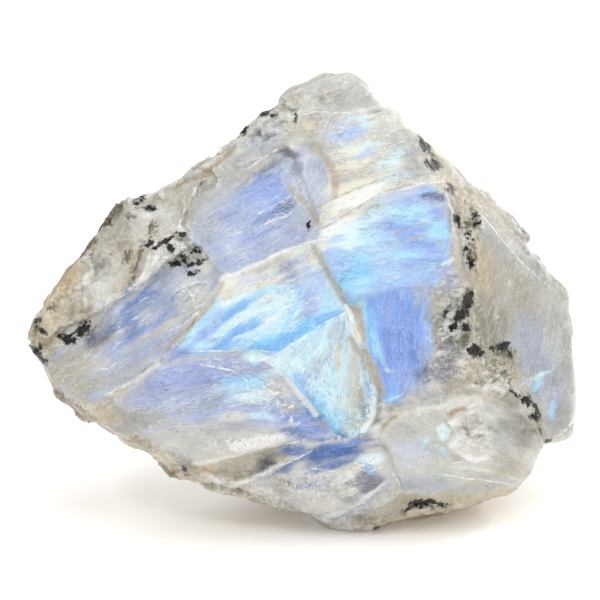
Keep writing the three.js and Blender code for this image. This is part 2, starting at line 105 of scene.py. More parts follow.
# Colours as they look in the photograph, 0 to 255
PALETTE = {
    "white": (248, 248, 244),
    "ice": (226, 248, 251),
    "pale cyan": (206, 239, 251),
    "cyan": (172, 224, 251),
    "turquoise": (134, 208, 250),
    "azure": (132, 188, 248),
    "sky": (176, 204, 242),
    "blue": (146, 172, 235),
    "cobalt": (120, 148, 218),
    "deep blue": (54, 102, 172),
    "violet": (158, 172, 224),
    "lavender": (176, 187, 219),
    "pale lavender": (204, 211, 229),
    "blue grey": (158, 170, 198),
    "slate blue": (98, 126, 182),
    "slate": (108, 113, 130),
    "dark slate": (78, 83, 100),
    "cool grey": (190, 196, 206),
    "grey": (176, 176, 174),
    "light grey": (208, 207, 201),
    "warm white": (228, 226, 217),
    "cream": (232, 222, 194),
    "yellow white": (235, 235, 218),
    "peach": (232, 212, 194),
    "sage": (192, 202, 192),
    "warm grey": (182, 174, 156),
    "shade": (138, 133, 121),
    "beige": (200, 184, 150),
    "tan": (158, 136, 98),
    "ochre": (212, 176, 114),
    "brown": (126, 107, 76),
    "olive": (98, 88, 64),
    "black": (12, 12, 13),
}

# The face's clear cleavage areas, in the order they are painted. The colours are the deep, middle and light
# tones; their blues are the stone's flash, a sheen painted in as fixed colour. Grain is the direction of
# the streaks, in degrees up from level to the right. Soft is how many pixels the edge takes to fade in.
ZONES = {
    "upper left slab": dict(
        outline=[(192, 240), (202, 216), (224, 200), (250, 186), (268, 168), (284, 153),
                 (299, 158), (306, 178), (313, 205), (319, 222), (317, 240), (288, 256),
                 (268, 268), (236, 279), (222, 280), (212, 264), (204, 250)],
        colours=("blue grey", "lavender", "pale lavender"), grain=24, soft=24,
    ),
    "upper middle wedge": dict(
        outline=[(292, 152), (309, 141), (326, 152), (337, 175), (336, 196), (322, 208),
                 (321, 228), (310, 232), (300, 216), (296, 180)],
        colours=("blue grey", "cool grey", "pale lavender"), grain=62, soft=9,
    ),
    "upper right bands": dict(
        outline=[(324, 160), (324, 134), (338, 116), (360, 106), (384, 108), (406, 122),
                 (424, 144), (438, 164), (448, 184), (420, 188), (400, 192), (372, 204),
                 (345, 218), (322, 230), (320, 206), (336, 196)],
        colours=("grey", "light grey", "yellow white"), grain=15, soft=9,
    ),
    "right slab": dict(
        outline=[(317, 243), (322, 229), (345, 214), (372, 201), (400, 189), (424, 184),
                 (438, 192), (446, 208), (448, 240), (446, 268), (430, 290), (424, 326),
                 (400, 326), (366, 316), (346, 302), (333, 275)],
        colours=("blue", "sky", "cyan"), grain=12, soft=5,
    ),
    "right lower slab": dict(
        outline=[(361, 298), (376, 294), (398, 286), (420, 292), (430, 308), (431, 350),
                 (420, 378), (408, 391), (396, 402), (384, 400), (381, 384), (374, 362),
                 (366, 338)],
        colours=("cobalt", "blue", "azure"), grain=88, soft=10,
    ),
    "lower left slab": dict(
        outline=[(126, 406), (148, 384), (160, 366), (205, 349), (250, 349), (282, 349),
                 (292, 372), (310, 398), (336, 432), (318, 438), (290, 428), (262, 426),
                 (215, 424), (180, 432), (150, 432), (132, 420)],
        colours=("blue grey", "lavender", "pale lavender"), grain=10, soft=18,
    ),
    "left lower step": dict(
        outline=[(44, 372), (60, 344), (92, 334), (106, 312), (136, 290), (152, 280),
                 (176, 262), (212, 256), (224, 278), (212, 302), (190, 324), (172, 346),
                 (150, 366), (125, 384), (98, 402), (70, 392)],
        colours=("blue grey", "cool grey", "cool grey"), grain=34, soft=3,
    ),
    "middle slab": dict(
        outline=[(223, 277), (256, 266), (290, 248), (316, 241), (330, 270), (343, 303),
                 (345, 311), (325, 321), (300, 338), (282, 350), (262, 349), (225, 349),
                 (176, 352), (190, 328), (212, 303)],
        colours=("sky", "cyan", "ice"), grain=32, soft=2.5,
    ),
    "middle slab's top": dict(
        outline=[(223, 278), (256, 266), (290, 248), (314, 243), (322, 256), (314, 276),
                 (294, 284), (270, 284), (250, 292), (226, 300), (214, 296)],
        colours=("light grey", "warm white", "white"), grain=26, soft=9,
    ),
    "pale fan": dict(
        outline=[(345, 311), (352, 330), (366, 352), (377, 388), (376, 412), (366, 430),
                 (344, 436), (336, 430), (312, 402), (290, 376), (264, 358), (282, 350),
                 (300, 338), (325, 321)],
        colours=("blue grey", "pale cyan", "pale cyan"), apex=(352, 276), soft=2.5,
    ),
    "right mass": dict(
        outline=[(480, 210), (500, 214), (540, 262), (556, 290), (572, 330), (578, 380),
                 (572, 420), (556, 440), (546, 440), (542, 404), (522, 382), (506, 358),
                 (486, 336), (480, 300), (474, 250)],
        colours=("warm grey", "grey", "light grey"), grain=74, soft=16, clear=0.75,
    ),
    "lower middle": dict(
        outline=[(190, 452), (222, 432), (262, 432), (290, 432), (320, 438), (352, 434),
                 (376, 436), (390, 455), (394, 478), (380, 495), (350, 512), (330, 519),
                 (304, 509), (262, 490), (226, 484), (196, 470)],
        colours=("cool grey", "light grey", "warm white"), grain=12, soft=8, clear=0.5,
    ),
    "lower right block": dict(
        outline=[(384, 426), (394, 416), (410, 410), (440, 403), (462, 394), (500, 388),
                 (524, 396), (538, 430), (540, 450), (526, 480), (510, 484), (476, 478),
                 (450, 484), (402, 490), (392, 470), (386, 444)],
        colours=("grey", "light grey", "light grey"), grain=-24, soft=5, clear=0.4,
    ),
}

# Crystal faces with crisp edges, and a few painted glints and painted shade given the same way: (colour,
# strength, outline)
CRYSTALS = [
    # the lump, the end and the lower rim at the left
    ("grey", 0.85, [(104, 228), (124, 212), (134, 218), (136, 240), (128, 262), (114, 278), (98, 262)]),
    ("warm white", 0.9, [(134, 208), (150, 206), (154, 220), (148, 244), (138, 252), (131, 230)]),
    ("warm grey", 0.8, [(146, 240), (156, 250), (150, 270), (136, 288), (124, 290), (134, 264)]),
    ("warm white", 0.9, [(82, 274), (102, 270), (112, 284), (104, 302), (86, 306), (78, 290)]),
    ("white", 0.6, [(162, 244), (170, 250), (158, 272), (146, 290), (138, 290), (150, 268)]),
    ("cool grey", 0.8, [(170, 254), (184, 264), (178, 284), (160, 296), (150, 290), (160, 272)]),
    # the brown flange at the lower left: partly its own tan, partly painted shade on faces that turn down
    # towards the table
    ("brown", 1.0, [(44, 370), (52, 379), (68, 393), (90, 411), (104, 418), (116, 440), (90, 446),
                    (60, 416), (38, 384)]),
    # lower right block and its underside
    ("beige", 0.8, [(396, 492), (430, 494), (455, 484), (468, 478), (485, 478), (510, 484), (524, 480),
                    (512, 496), (488, 500), (470, 508), (440, 514), (410, 522), (378, 530), (372, 520)]),
    ("tan", 0.7, [(376, 522), (410, 513), (440, 508), (444, 512), (410, 522), (378, 530)]),
    ("warm white", 0.9, [(444, 419), (454, 416), (466, 411), (482, 412), (492, 424), (492, 440), (496, 450),
                         (486, 458), (472, 460), (456, 452), (446, 444), (450, 430)]),
    ("white", 1.0, [(445, 419), (454, 416), (459, 417), (456, 423), (452, 428)]),
    ("white", 1.0, [(465, 422), (471, 418), (479, 418), (485, 422), (489, 427), (487, 431),
                    (477, 433), (470, 431)]),
    ("white", 1.0, [(453, 431), (461, 429), (468, 433), (460, 438), (452, 439)]),
    ("white", 1.0, [(445, 440), (452, 438), (459, 440), (462, 443), (454, 446), (448, 446)]),
    ("white", 0.8, [(470, 436), (490, 434), (492, 442), (478, 442)]),
    ("white", 0.7, [(458, 449), (467, 452), (476, 454), (488, 453), (486, 457), (474, 460), (464, 457)]),
    ("tan", 0.8, [(457, 424), (464, 424), (466, 429), (460, 428)]),
    ("tan", 0.7, [(462, 431), (471, 434), (483, 432), (482, 434), (470, 437)]),
    ("beige", 0.6, [(470, 444), (478, 444), (478, 450), (472, 450)]),
    ("ice", 1.0, [(433, 424), (441, 419), (448, 427), (447, 433), (441, 440), (436, 435)]),
    ("warm grey", 0.8, [(449, 452), (461, 452), (466, 458), (452, 459)]),
    ("warm white", 0.8, [(444, 408), (462, 395), (480, 392), (483, 404), (466, 410), (450, 415)]),
    ("warm grey", 0.6, [(490, 398), (516, 396), (528, 412), (530, 440), (512, 446), (506, 420)]),
    ("pale lavender", 0.5, [(396, 446), (424, 430), (432, 448), (424, 468), (402, 474)]),
    # lower middle
    ("warm grey", 0.85, [(205, 462), (225, 456), (240, 450), (262, 447), (288, 441), (300, 443),
                         (282, 460), (268, 469), (250, 475), (235, 481), (222, 479), (210, 470)]),
    ("white", 0.8, [(228, 441), (240, 437), (262, 432), (286, 430), (300, 436), (280, 440), (262, 446),
                    (245, 449), (232, 448)]),
    ("beige", 0.8, [(205, 466), (215, 478), (224, 485), (240, 484), (256, 490), (270, 500), (292, 508),
                    (274, 511), (250, 506), (228, 500), (204, 490), (182, 482), (166, 470), (180, 464)]),
    # along the bottom edge: partly the underside's own olive brown, partly painted shade where the stone
    # meets the table
    ("olive", 0.75, [(266, 511), (287, 509), (302, 509), (316, 518), (324, 526), (306, 534), (282, 524)]),
    ("light grey", 0.8, [(300, 500), (304, 486), (326, 484), (346, 492), (350, 506), (330, 516),
                         (316, 514)]),
    ("warm grey", 0.9, [(320, 521), (345, 521), (366, 511), (386, 498), (402, 492), (418, 496),
                        (400, 510), (382, 518), (372, 528), (345, 533), (330, 530)]),
    ("white", 0.9, [(247, 487), (262, 483), (272, 485), (280, 493), (290, 506), (272, 503), (256, 496)]),
    ("white", 0.9, [(228, 480), (236, 478), (246, 478), (238, 486), (230, 485)]),
    ("white", 0.7, [(198, 466), (208, 470), (220, 482), (232, 490), (222, 492), (206, 482)]),
    ("light grey", 0.8, [(326, 497), (340, 481), (352, 471), (364, 476), (352, 490), (338, 500)]),
    ("white", 0.8, [(343, 471), (350, 468), (355, 474), (350, 478)]),
    # this white is a painted glint
    ("white", 0.6, [(268, 434), (276, 430), (286, 433), (284, 438), (272, 440)]),
    # the step down into the blue
    ("sky", 0.8, [(328, 264), (345, 256), (360, 250), (378, 247), (396, 252), (400, 262), (374, 264),
                  (356, 272), (340, 284), (334, 276)]),
    ("warm grey", 0.7, [(347, 301), (362, 300), (362, 312), (352, 312)]),
]

# Soft patches of colour on the face: (colour, middle, half length, half width, angle, strength)
PATCHES = [
    # rim and masses round the cleavage areas
    ("light grey", (330, 100), 60, 22, 4, 0.85), ("grey", (340, 94), 54, 12, -6, 0.5),
    ("cool grey", (262, 142), 36, 14, 34, 0.85), ("grey", (222, 172), 34, 8, 34, 0.7),
    ("beige", (210, 168), 12, 7, 30, 0.5), ("warm grey", (196, 188), 16, 12, 20, 0.5),
    ("tan", (206, 172), 26, 2.4, 34, 0.7), ("warm grey", (330, 96), 14, 7, 20, 0.5),
    ("grey", (328, 104), 18, 5, 10, 0.35), ("beige", (288, 104), 18, 5, 40, 0.5),
    ("cream", (300, 128), 16, 8, 10, 0.5), ("warm grey", (186, 208), 11, 24, 12, 0.75),
    ("warm white", (166, 214), 9, 16, 14, 0.8), ("cream", (160, 236), 16, 8, 0, 0.5),
    ("warm grey", (116, 244), 40, 22, 50, 0.8), ("beige", (124, 262), 20, 10, 60, 0.6),
    ("light grey", (142, 224), 10, 14, 0, 0.8), ("light grey", (108, 276), 26, 12, 50, 0.8),
    ("ochre", (68, 286), 24, 14, 60, 0.95), ("cream", (58, 306), 18, 14, 20, 0.8),
    ("beige", (80, 262), 20, 6, 55, 0.7), ("warm white", (92, 290), 18, 11, 40, 0.9),
    ("beige", (62, 312), 26, 14, 20, 0.9), ("tan", (86, 312), 10, 6, 30, 0.6),
    ("beige", (122, 286), 14, 5, 50, 0.7), ("tan", (104, 226), 36, 7, 52, 0.9),
    ("shade", (108, 216), 26, 5, 50, 0.9), ("beige", (44, 334), 16, 20, 0, 0.9),
    ("tan", (38, 332), 9, 11, 0, 0.5), ("shade", (88, 326), 24, 12, 30, 0.7),
    ("warm grey", (80, 364), 42, 26, 20, 0.8), ("warm grey", (82, 388), 32, 14, 30, 0.6),
    ("grey", (106, 332), 28, 12, 34, 0.5), ("grey", (92, 380), 30, 14, 30, 0.5),
    ("grey", (100, 346), 30, 8, 24, 0.5), ("tan", (82, 410), 52, 6, -40, 0.4),
    ("beige", (116, 414), 26, 14, 20, 0.9), ("tan", (104, 432), 30, 7, -34, 0.8),
    ("tan", (140, 440), 26, 8, -26, 0.8), ("light grey", (196, 444), 26, 6, 10, 0.6),
    ("shade", (186, 462), 24, 8, -30, 0.7), ("warm grey", (152, 448), 24, 6, -28, 0.7),
    ("cream", (168, 460), 14, 8, -30, 0.8), ("ochre", (206, 466), 12, 3, 0, 0.5),
    ("beige", (236, 492), 40, 9, -16, 0.9), ("ochre", (252, 496), 14, 4, -20, 0.5),
    ("grey", (500, 226), 18, 36, 36, 0.8), ("light grey", (548, 266), 20, 24, 20, 0.8),
    ("light grey", (562, 320), 8, 22, 0, 0.7), ("grey", (558, 366), 12, 40, 0, 0.8),
    ("grey", (526, 262), 22, 24, 30, 0.6), ("warm grey", (490, 290), 22, 40, 0, 0.95),
    ("shade", (488, 322), 15, 28, 6, 0.95), ("warm grey", (518, 300), 26, 22, 0, 0.8),
    ("grey", (512, 350), 10, 26, 20, 0.7), ("grey", (548, 318), 20, 14, 0, 0.7),
    ("blue grey", (534, 352), 18, 52, 12, 0.6), ("cool grey", (524, 338), 10, 26, 0, 0.4),
    ("blue grey", (546, 404), 14, 26, 0, 0.3), ("violet", (552, 404), 5, 14, 0, 0.4),
    ("grey", (562, 424), 10, 14, 0, 0.7), ("warm grey", (536, 424), 6, 22, 0, 0.6),
    ("cool grey", (530, 378), 12, 6, 20, 0.7), ("pale cyan", (540, 374), 12, 2.4, 28, 0.8),
    ("cyan", (536, 384), 6, 2.6, 40, 0.9), ("cyan", (551, 408), 3, 10, 0, 0.6),
    ("beige", (490, 370), 24, 22, 0, 0.95), ("tan", (502, 366), 9, 14, -10, 0.6),
    ("warm grey", (484, 384), 18, 8, 0, 0.6), ("cream", (476, 366), 10, 12, 0, 0.6),
    ("tan", (500, 360), 10, 10, 0, 0.4), ("shade", (486, 366), 22, 16, 0, 0.4),
    ("beige", (474, 246), 7, 36, 6, 0.8), ("warm grey", (458, 206), 6, 24, 20, 0.7),
    ("peach", (474, 250), 4, 14, 0, 0.5), ("warm grey", (450, 184), 9, 50, 40, 0.9),
    ("beige", (440, 154), 8, 22, 42, 0.7), ("beige", (474, 204), 5, 22, 40, 0.7),
    ("warm grey", (486, 204), 12, 44, 40, 0.6), ("warm grey", (457, 262), 7, 34, 0, 0.8),
    ("grey", (448, 284), 10, 16, 0, 0.7),
    # left steps, and three spots on the upper left rim
    ("slate blue", (141, 301), 32, 14, 34, 0.85), ("slate blue", (130, 322), 20, 8, 24, 0.8),
    ("deep blue", (149, 295), 12, 5, 38, 0.4), ("blue grey", (110, 318), 14, 12, 20, 0.7),
    ("blue", (150, 292), 16, 3, 36, 0.5), ("slate", (104, 334), 14, 7, 20, 0.6),
    ("blue grey", (166, 278), 18, 9, 30, 0.7), ("blue grey", (162, 306), 22, 14, 30, 0.9),
    ("cool grey", (192, 286), 18, 16, 10, 0.7), ("light grey", (198, 294), 18, 16, 30, 0.6),
    ("warm white", (207, 262), 8, 16, 0, 0.6), ("slate", (97, 339), 14, 8, 20, 0.5),
    ("warm grey", (104, 322), 14, 4, 34, 0.5), ("light grey", (186, 190), 16, 7, 34, 0.6),
    ("light grey", (228, 156), 12, 7, 34, 0.5), ("light grey", (247, 132), 10, 6, 20, 0.5),
    ("violet", (132, 342), 34, 7, 30, 0.8), ("slate blue", (150, 322), 22, 5, 34, 0.5),
    ("beige", (150, 334), 34, 2.5, 32, 0.6), ("blue grey", (150, 344), 30, 4, 32, 0.6),
    ("violet", (140, 358), 28, 5, 36, 0.8), ("violet", (172, 338), 20, 4, 40, 0.7),
    ("beige", (156, 350), 22, 2, 38, 0.5), ("light grey", (184, 314), 24, 4, 40, 0.7),
    ("blue grey", (120, 360), 26, 9, 30, 0.85), ("grey", (116, 376), 26, 8, 30, 0.7),
    # upper left slab
    ("blue grey", (258, 198), 40, 24, 30, 0.8), ("blue", (262, 196), 36, 16, 30, 0.7),
    ("sky", (246, 214), 14, 6, 30, 0.5), ("cobalt", (260, 188), 20, 9, 34, 0.5),
    ("cool grey", (292, 176), 8, 22, 0, 0.6), ("blue", (272, 200), 22, 8, 20, 0.5),
    ("slate", (268, 166), 18, 4, 34, 0.6), ("dark slate", (290, 154), 12, 4, -20, 0.7),
    ("slate", (298, 176), 5, 14, 10, 0.5), ("lavender", (228, 218), 30, 12, 20, 0.7),
    ("dark slate", (288, 206), 9, 4, 20, 0.6), ("slate blue", (276, 216), 20, 4, 24, 0.7),
    ("slate blue", (270, 230), 20, 3, 24, 0.6), ("violet", (246, 238), 36, 7, 20, 0.7),
    ("lavender", (250, 256), 26, 8, 20, 0.7), ("pale lavender", (226, 240), 14, 12, 0, 0.5),
    ("cool grey", (298, 226), 14, 7, 24, 0.8), ("cool grey", (204, 224), 12, 22, 10, 0.8),
    ("cool grey", (222, 200), 18, 8, 30, 0.6),
    # upper middle wedge
    ("pale lavender", (304, 186), 9, 26, 0, 0.9), ("slate", (296, 168), 6, 6, 0, 0.5),
    ("warm grey", (316, 148), 14, 6, -30, 0.6),
    # upper right bands
    ("pale lavender", (346, 130), 24, 15, 10, 0.95), ("sky", (350, 132), 14, 7, 10, 0.8),
    # the white at (366, 115) is a painted glint
    ("pale cyan", (366, 124), 20, 4, -24, 0.8), ("white", (366, 115), 8, 3, -10, 0.95),
    ("ice", (358, 147), 26, 3.5, 8, 0.7), ("light grey", (386, 130), 18, 12, -20, 0.8),
    ("grey", (408, 140), 16, 22, -40, 0.7), ("light grey", (336, 156), 12, 8, 0, 0.7),
    ("yellow white", (346, 151), 14, 3, 10, 0.8), ("sky", (364, 154), 12, 2.5, 14, 0.7),
    ("yellow white", (358, 164), 16, 3, 12, 0.9), ("pale cyan", (396, 156), 14, 6, 20, 0.7),
    ("peach", (352, 172), 22, 2, 12, 0.7), ("yellow white", (358, 184), 30, 7, 16, 0.95),
    ("peach", (336, 186), 5, 12, 10, 0.7), ("white", (356, 194), 22, 4, 18, 0.7),
    ("peach", (340, 197), 18, 1.6, 22, 0.7), ("yellow white", (346, 205), 26, 7, 24, 0.6),
    ("white", (352, 201), 34, 8, 24, 0.8), ("ice", (384, 166), 18, 7, 14, 0.7),
    ("grey", (412, 156), 14, 12, 30, 0.85), ("grey", (424, 172), 20, 7, 12, 0.7),
    ("pale cyan", (388, 166), 12, 3, 16, 0.5), ("pale cyan", (390, 178), 18, 4, 10, 0.5),
    # right slab
    ("white", (340, 226), 26, 10, 30, 0.95), ("cream", (356, 212), 20, 4, 26, 0.6),
    ("sage", (376, 206), 16, 6, 24, 0.7), ("ice", (350, 238), 20, 8, 16, 0.95),
    ("peach", (346, 225), 8, 4, 20, 0.6), ("yellow white", (324, 246), 7, 10, 0, 0.8),
    ("ice", (362, 222), 24, 7, 24, 0.9), ("pale cyan", (384, 214), 18, 6, 20, 0.8),
    ("ice", (330, 256), 14, 5, 20, 0.9), ("ice", (340, 246), 18, 7, 20, 0.8),
    ("pale cyan", (366, 236), 14, 10, 20, 0.8), ("sage", (374, 206), 14, 3, 24, 0.6),
    ("sky", (396, 202), 14, 6, 12, 0.7), ("sky", (390, 226), 18, 10, 10, 0.85),
    ("blue", (394, 226), 12, 5, 10, 0.7), ("cyan", (412, 212), 18, 8, 10, 0.8),
    ("blue", (416, 200), 16, 5, -8, 0.5), ("pale lavender", (402, 193), 22, 5, 14, 0.7),
    ("slate blue", (432, 196), 13, 5, -14, 0.95), ("slate", (436, 197), 12, 5, -14, 0.8),
    ("blue", (434, 212), 12, 5, 14, 0.7), ("cool grey", (447, 207), 7, 9, 0, 0.8),
    ("light grey", (436, 205), 14, 2.4, -10, 0.6), ("cyan", (436, 230), 14, 9, -30, 0.95),
    ("blue", (412, 232), 18, 4, 16, 0.7), ("blue", (420, 244), 22, 5, -6, 0.95),
    ("violet", (438, 250), 10, 6, -40, 0.7), ("cyan", (408, 256), 22, 4, -4, 0.9),
    ("blue", (424, 260), 18, 3, 6, 0.8), ("sky", (384, 246), 16, 5, 10, 0.6),
    ("cyan", (360, 262), 16, 4, 14, 0.6), ("turquoise", (354, 276), 22, 16, 20, 0.85),
    ("cyan", (360, 288), 12, 9, 0, 0.6), ("azure", (334, 258), 12, 6, 24, 0.6),
    ("sky", (392, 270), 20, 8, 4, 0.6), ("blue", (404, 290), 12, 10, 0, 0.7),
    ("lavender", (440, 272), 14, 8, 0, 0.8), ("lavender", (430, 286), 16, 6, 0, 0.7),
    ("grey", (448, 300), 14, 14, 0, 0.9), ("lavender", (446, 280), 9, 16, 0, 0.6),
    ("cool grey", (420, 296), 8, 14, 0, 0.5), ("blue grey", (421, 352), 6, 22, 0, 0.6),
    # right lower slab, and the ledges on its right
    ("cyan", (364, 320), 3.5, 20, 10, 0.9), ("azure", (372, 326), 5, 24, 8, 0.9),
    ("cyan", (379, 354), 4, 16, 12, 0.9), ("ice", (386, 369), 8, 2.5, -10, 0.7),
    ("violet", (385, 312), 4, 14, 0, 0.5), ("azure", (394, 306), 3, 16, 0, 0.5),
    ("blue", (400, 330), 14, 30, 4, 0.7), ("slate blue", (410, 344), 6, 10, 10, 0.5),
    ("violet", (400, 376), 14, 10, 0, 0.5), ("cobalt", (404, 344), 12, 18, 4, 0.7),
    ("cobalt", (386, 346), 4, 20, 6, 0.5), ("sky", (426, 320), 6, 26, 4, 0.7),
    ("slate blue", (414, 356), 4, 6, 0, 0.5), ("azure", (390, 392), 12, 4, 16, 0.9),
    ("cyan", (390, 396), 10, 2.5, 14, 0.9), ("blue grey", (416, 386), 16, 7, 24, 0.8),
    ("warm grey", (450, 340), 9, 44, 0, 0.85), ("grey", (438, 352), 10, 36, 0, 0.8),
    ("slate", (434, 372), 18, 8, 0, 0.8), ("shade", (442, 322), 14, 20, 10, 0.8),
    ("slate", (446, 356), 12, 14, 0, 0.6), ("slate", (452, 326), 12, 34, 0, 0.55),
    ("grey", (424, 398), 36, 7, 14, 0.9), ("warm grey", (460, 384), 18, 10, 10, 0.7),
    ("warm grey", (436, 300), 14, 12, 0, 0.6), ("light grey", (452, 226), 3, 34, 4, 0.7),
    # middle slab
    ("white", (250, 271), 30, 6, 22, 0.9), ("yellow white", (232, 282), 12, 5, 20, 0.8),
    ("ice", (244, 292), 18, 7, 28, 0.95), ("peach", (228, 291), 7, 3, 20, 0.4),
    ("pale lavender", (258, 279), 30, 7, 20, 0.6), ("lavender", (290, 267), 17, 10, 24, 0.6),
    ("light grey", (303, 254), 12, 8, 20, 0.6), ("yellow white", (264, 282), 18, 4, 14, 0.7),
    ("light grey", (280, 260), 26, 8, 24, 0.9), ("pale lavender", (302, 258), 16, 9, 24, 0.9),
    ("blue grey", (290, 272), 9, 13, 0, 0.8), ("grey", (286, 266), 8, 6, 0, 0.4),
    ("cream", (309, 262), 4, 10, -14, 0.7), ("pale cyan", (308, 270), 7, 8, 0, 0.8),
    ("sky", (320, 284), 12, 26, -16, 0.95), ("lavender", (306, 276), 8, 12, 0, 0.6),
    ("sky", (312, 298), 12, 22, 0, 0.9), ("violet", (312, 304), 6, 12, 0, 0.5),
    ("azure", (298, 288), 4, 8, 0, 0.6), ("cyan", (330, 296), 6, 12, -20, 0.7),
    ("ice", (278, 300), 18, 14, 20, 0.85), ("white", (270, 318), 20, 6, 26, 0.7),
    ("yellow white", (262, 300), 12, 4, 20, 0.5), ("azure", (240, 305), 24, 4, 34, 0.9),
    ("azure", (228, 318), 14, 5, 32, 0.95), ("ice", (232, 298), 12, 4, 30, 0.9),
    ("ice", (238, 320), 26, 4.5, 34, 0.9), ("sky", (214, 318), 14, 6, 40, 0.8),
    ("azure", (240, 331), 36, 5, 27, 0.95), ("pale cyan", (256, 332), 20, 4, 24, 0.8),
    ("blue", (214, 338), 14, 5, 10, 0.85), ("white", (238, 337), 4, 2.5, 20, 0.9),
    ("cyan", (252, 340), 20, 5, 10, 0.8), ("azure", (230, 344), 28, 5, 8, 0.95),
    ("turquoise", (246, 345), 16, 4, 10, 0.8), ("turquoise", (268, 341), 22, 8, 12, 1.0),
    ("azure", (262, 346), 24, 3, 4, 0.8), ("turquoise", (304, 329), 44, 6, 31, 0.95),
    ("azure", (286, 338), 18, 6, 30, 0.8), ("azure", (326, 316), 14, 4, 26, 0.9),
    ("blue", (184, 350), 20, 6, 20, 0.9), ("blue", (204, 330), 12, 8, 40, 0.6),
    # pale fan
    ("ice", (284, 362), 22, 10, 20, 0.9), ("pale cyan", (312, 348), 26, 10, 30, 0.9),
    ("ice", (322, 360), 9, 22, 0, 0.5), ("lavender", (318, 368), 10, 12, 0, 0.5),
    ("sky", (306, 388), 20, 6, -50, 0.8), ("azure", (316, 406), 28, 7, -48, 0.95),
    ("turquoise", (330, 420), 16, 5, -50, 0.8), ("sage", (354, 376), 11, 32, 0, 0.9),
    ("warm grey", (358, 390), 6, 26, 8, 0.6), ("sage", (346, 400), 12, 16, 0, 0.5),
    ("cyan", (331, 409), 24, 7, -48, 0.6), ("light grey", (350, 372), 10, 26, 0, 0.6),
    ("cream", (338, 362), 5, 20, 0, 0.6), ("pale cyan", (342, 404), 4, 18, 0, 0.6),
    ("cool grey", (338, 330), 8, 12, 0, 0.6), ("slate", (363, 410), 4, 10, 10, 0.7),
    ("sage", (352, 420), 8, 10, 0, 0.6),
    # lower left slab
    ("violet", (184, 368), 36, 8, 14, 0.8), ("blue grey", (184, 382), 54, 12, 8, 0.8),
    ("violet", (190, 378), 48, 6, 8, 0.8), ("slate blue", (220, 378), 20, 3, 8, 0.5),
    ("lavender", (150, 396), 34, 9, 12, 0.8), ("blue grey", (210, 398), 22, 7, 8, 0.8),
    ("warm grey", (124, 424), 22, 9, 14, 0.8), ("grey", (152, 416), 40, 12, 12, 0.9),
    ("light grey", (184, 428), 40, 8, 8, 0.8), ("lavender", (222, 358), 18, 5, 6, 0.6),
    ("ice", (260, 356), 14, 5, -4, 0.95), ("cyan", (256, 364), 5, 3.5, 0, 0.9),
    ("cyan", (244, 382), 22, 10, 10, 0.85), ("azure", (240, 376), 14, 3, 10, 0.6),
    ("ice", (264, 396), 20, 9, -10, 0.9), ("pale cyan", (266, 414), 16, 5, -8, 0.8),
    ("light grey", (284, 392), 10, 16, 40, 0.8), ("warm grey", (290, 406), 14, 6, -40, 0.6),
    ("warm white", (236, 414), 12, 6, 0, 0.7), ("grey", (240, 424), 18, 4, 0, 0.5),
    ("slate blue", (316, 416), 12, 5, -40, 0.6),
    # lower middle
    ("cool grey", (300, 470), 34, 10, 16, 0.8), ("slate blue", (284, 466), 12, 5, 20, 0.6),
    ("cobalt", (300, 420), 30, 9, -20, 0.7), ("deep blue", (290, 426), 18, 6, -10, 0.6),
    ("slate blue", (294, 445), 15, 6, 20, 0.9), ("deep blue", (330, 449), 38, 13, 12, 0.75),
    ("deep blue", (336, 448), 26, 10, 12, 0.85), ("cobalt", (346, 440), 22, 3, 4, 0.7),
    ("slate blue", (306, 436), 18, 4, 0, 0.7), ("cobalt", (318, 464), 16, 4, 24, 0.4),
    ("dark slate", (268, 459), 15, 7, 10, 0.9), ("slate", (368, 478), 14, 9, 10, 0.85),
    ("slate", (349, 497), 10, 4, 10, 0.5), ("slate blue", (312, 478), 14, 5, 20, 0.5),
    ("slate", (376, 484), 10, 8, 0, 0.7), ("ice", (372, 457), 14, 6, 10, 0.9),
    ("azure", (368, 466), 9, 4, -30, 0.7), ("warm white", (340, 527), 30, 5, 4, 0.6),
    ("beige", (306, 522), 26, 6, -16, 0.6), ("beige", (216, 492), 34, 7, -26, 0.6),
    ("warm white", (270, 500), 16, 5, -20, 0.7), ("warm grey", (236, 464), 34, 8, 20, 0.7),
    ("light grey", (316, 500), 24, 12, 10, 0.6), ("slate", (285, 470), 8, 3, 10, 0.6),
    ("warm grey", (283, 483), 9, 9, 0, 0.7), ("lavender", (312, 480), 20, 8, 10, 0.5),
    # lower right block
    ("pale cyan", (424, 440), 3, 10, -20, 0.7), ("cyan", (442, 450), 3, 6, 0, 0.6),
    ("tan", (454, 410), 9, 2.6, 18, 0.9), ("shade", (508, 400), 16, 6, -20, 0.7),
    ("grey", (512, 424), 14, 22, 0, 0.8), ("shade", (514, 420), 9, 12, 0, 0.5),
    ("shade", (520, 424), 6, 9, 0, 0.6), ("warm grey", (508, 462), 24, 14, 0, 0.8),
    ("light grey", (418, 466), 30, 10, 0, 0.5), ("grey", (404, 430), 12, 8, 20, 0.5),
    ("pale lavender", (408, 446), 16, 14, 0, 0.6), ("blue grey", (420, 480), 24, 7, 0, 0.5),
    ("shade", (526, 426), 9, 18, 0, 0.6), ("shade", (518, 442), 9, 16, 0, 0.5),
    ("sage", (496, 432), 16, 20, 0, 0.5), ("grey", (502, 442), 14, 20, 10, 0.6),
    ("shade", (504, 426), 9, 8, 20, 0.5), ("cool grey", (474, 486), 34, 7, 4, 0.6),
    ("sage", (438, 470), 34, 8, 0, 0.5), ("warm white", (466, 466), 24, 2.4, -6, 0.7),
    ("grey", (480, 474), 30, 3, -8, 0.6), ("warm white", (472, 416), 14, 7, 10, 0.7),
    # last touches, all over
    ("shade", (492, 326), 16, 18, 0, 0.8), ("shade", (460, 296), 5, 12, 0, 0.9),
    ("grey", (462, 172), 5, 14, 30, 0.5), ("sage", (340, 400), 8, 10, 0, 0.3),
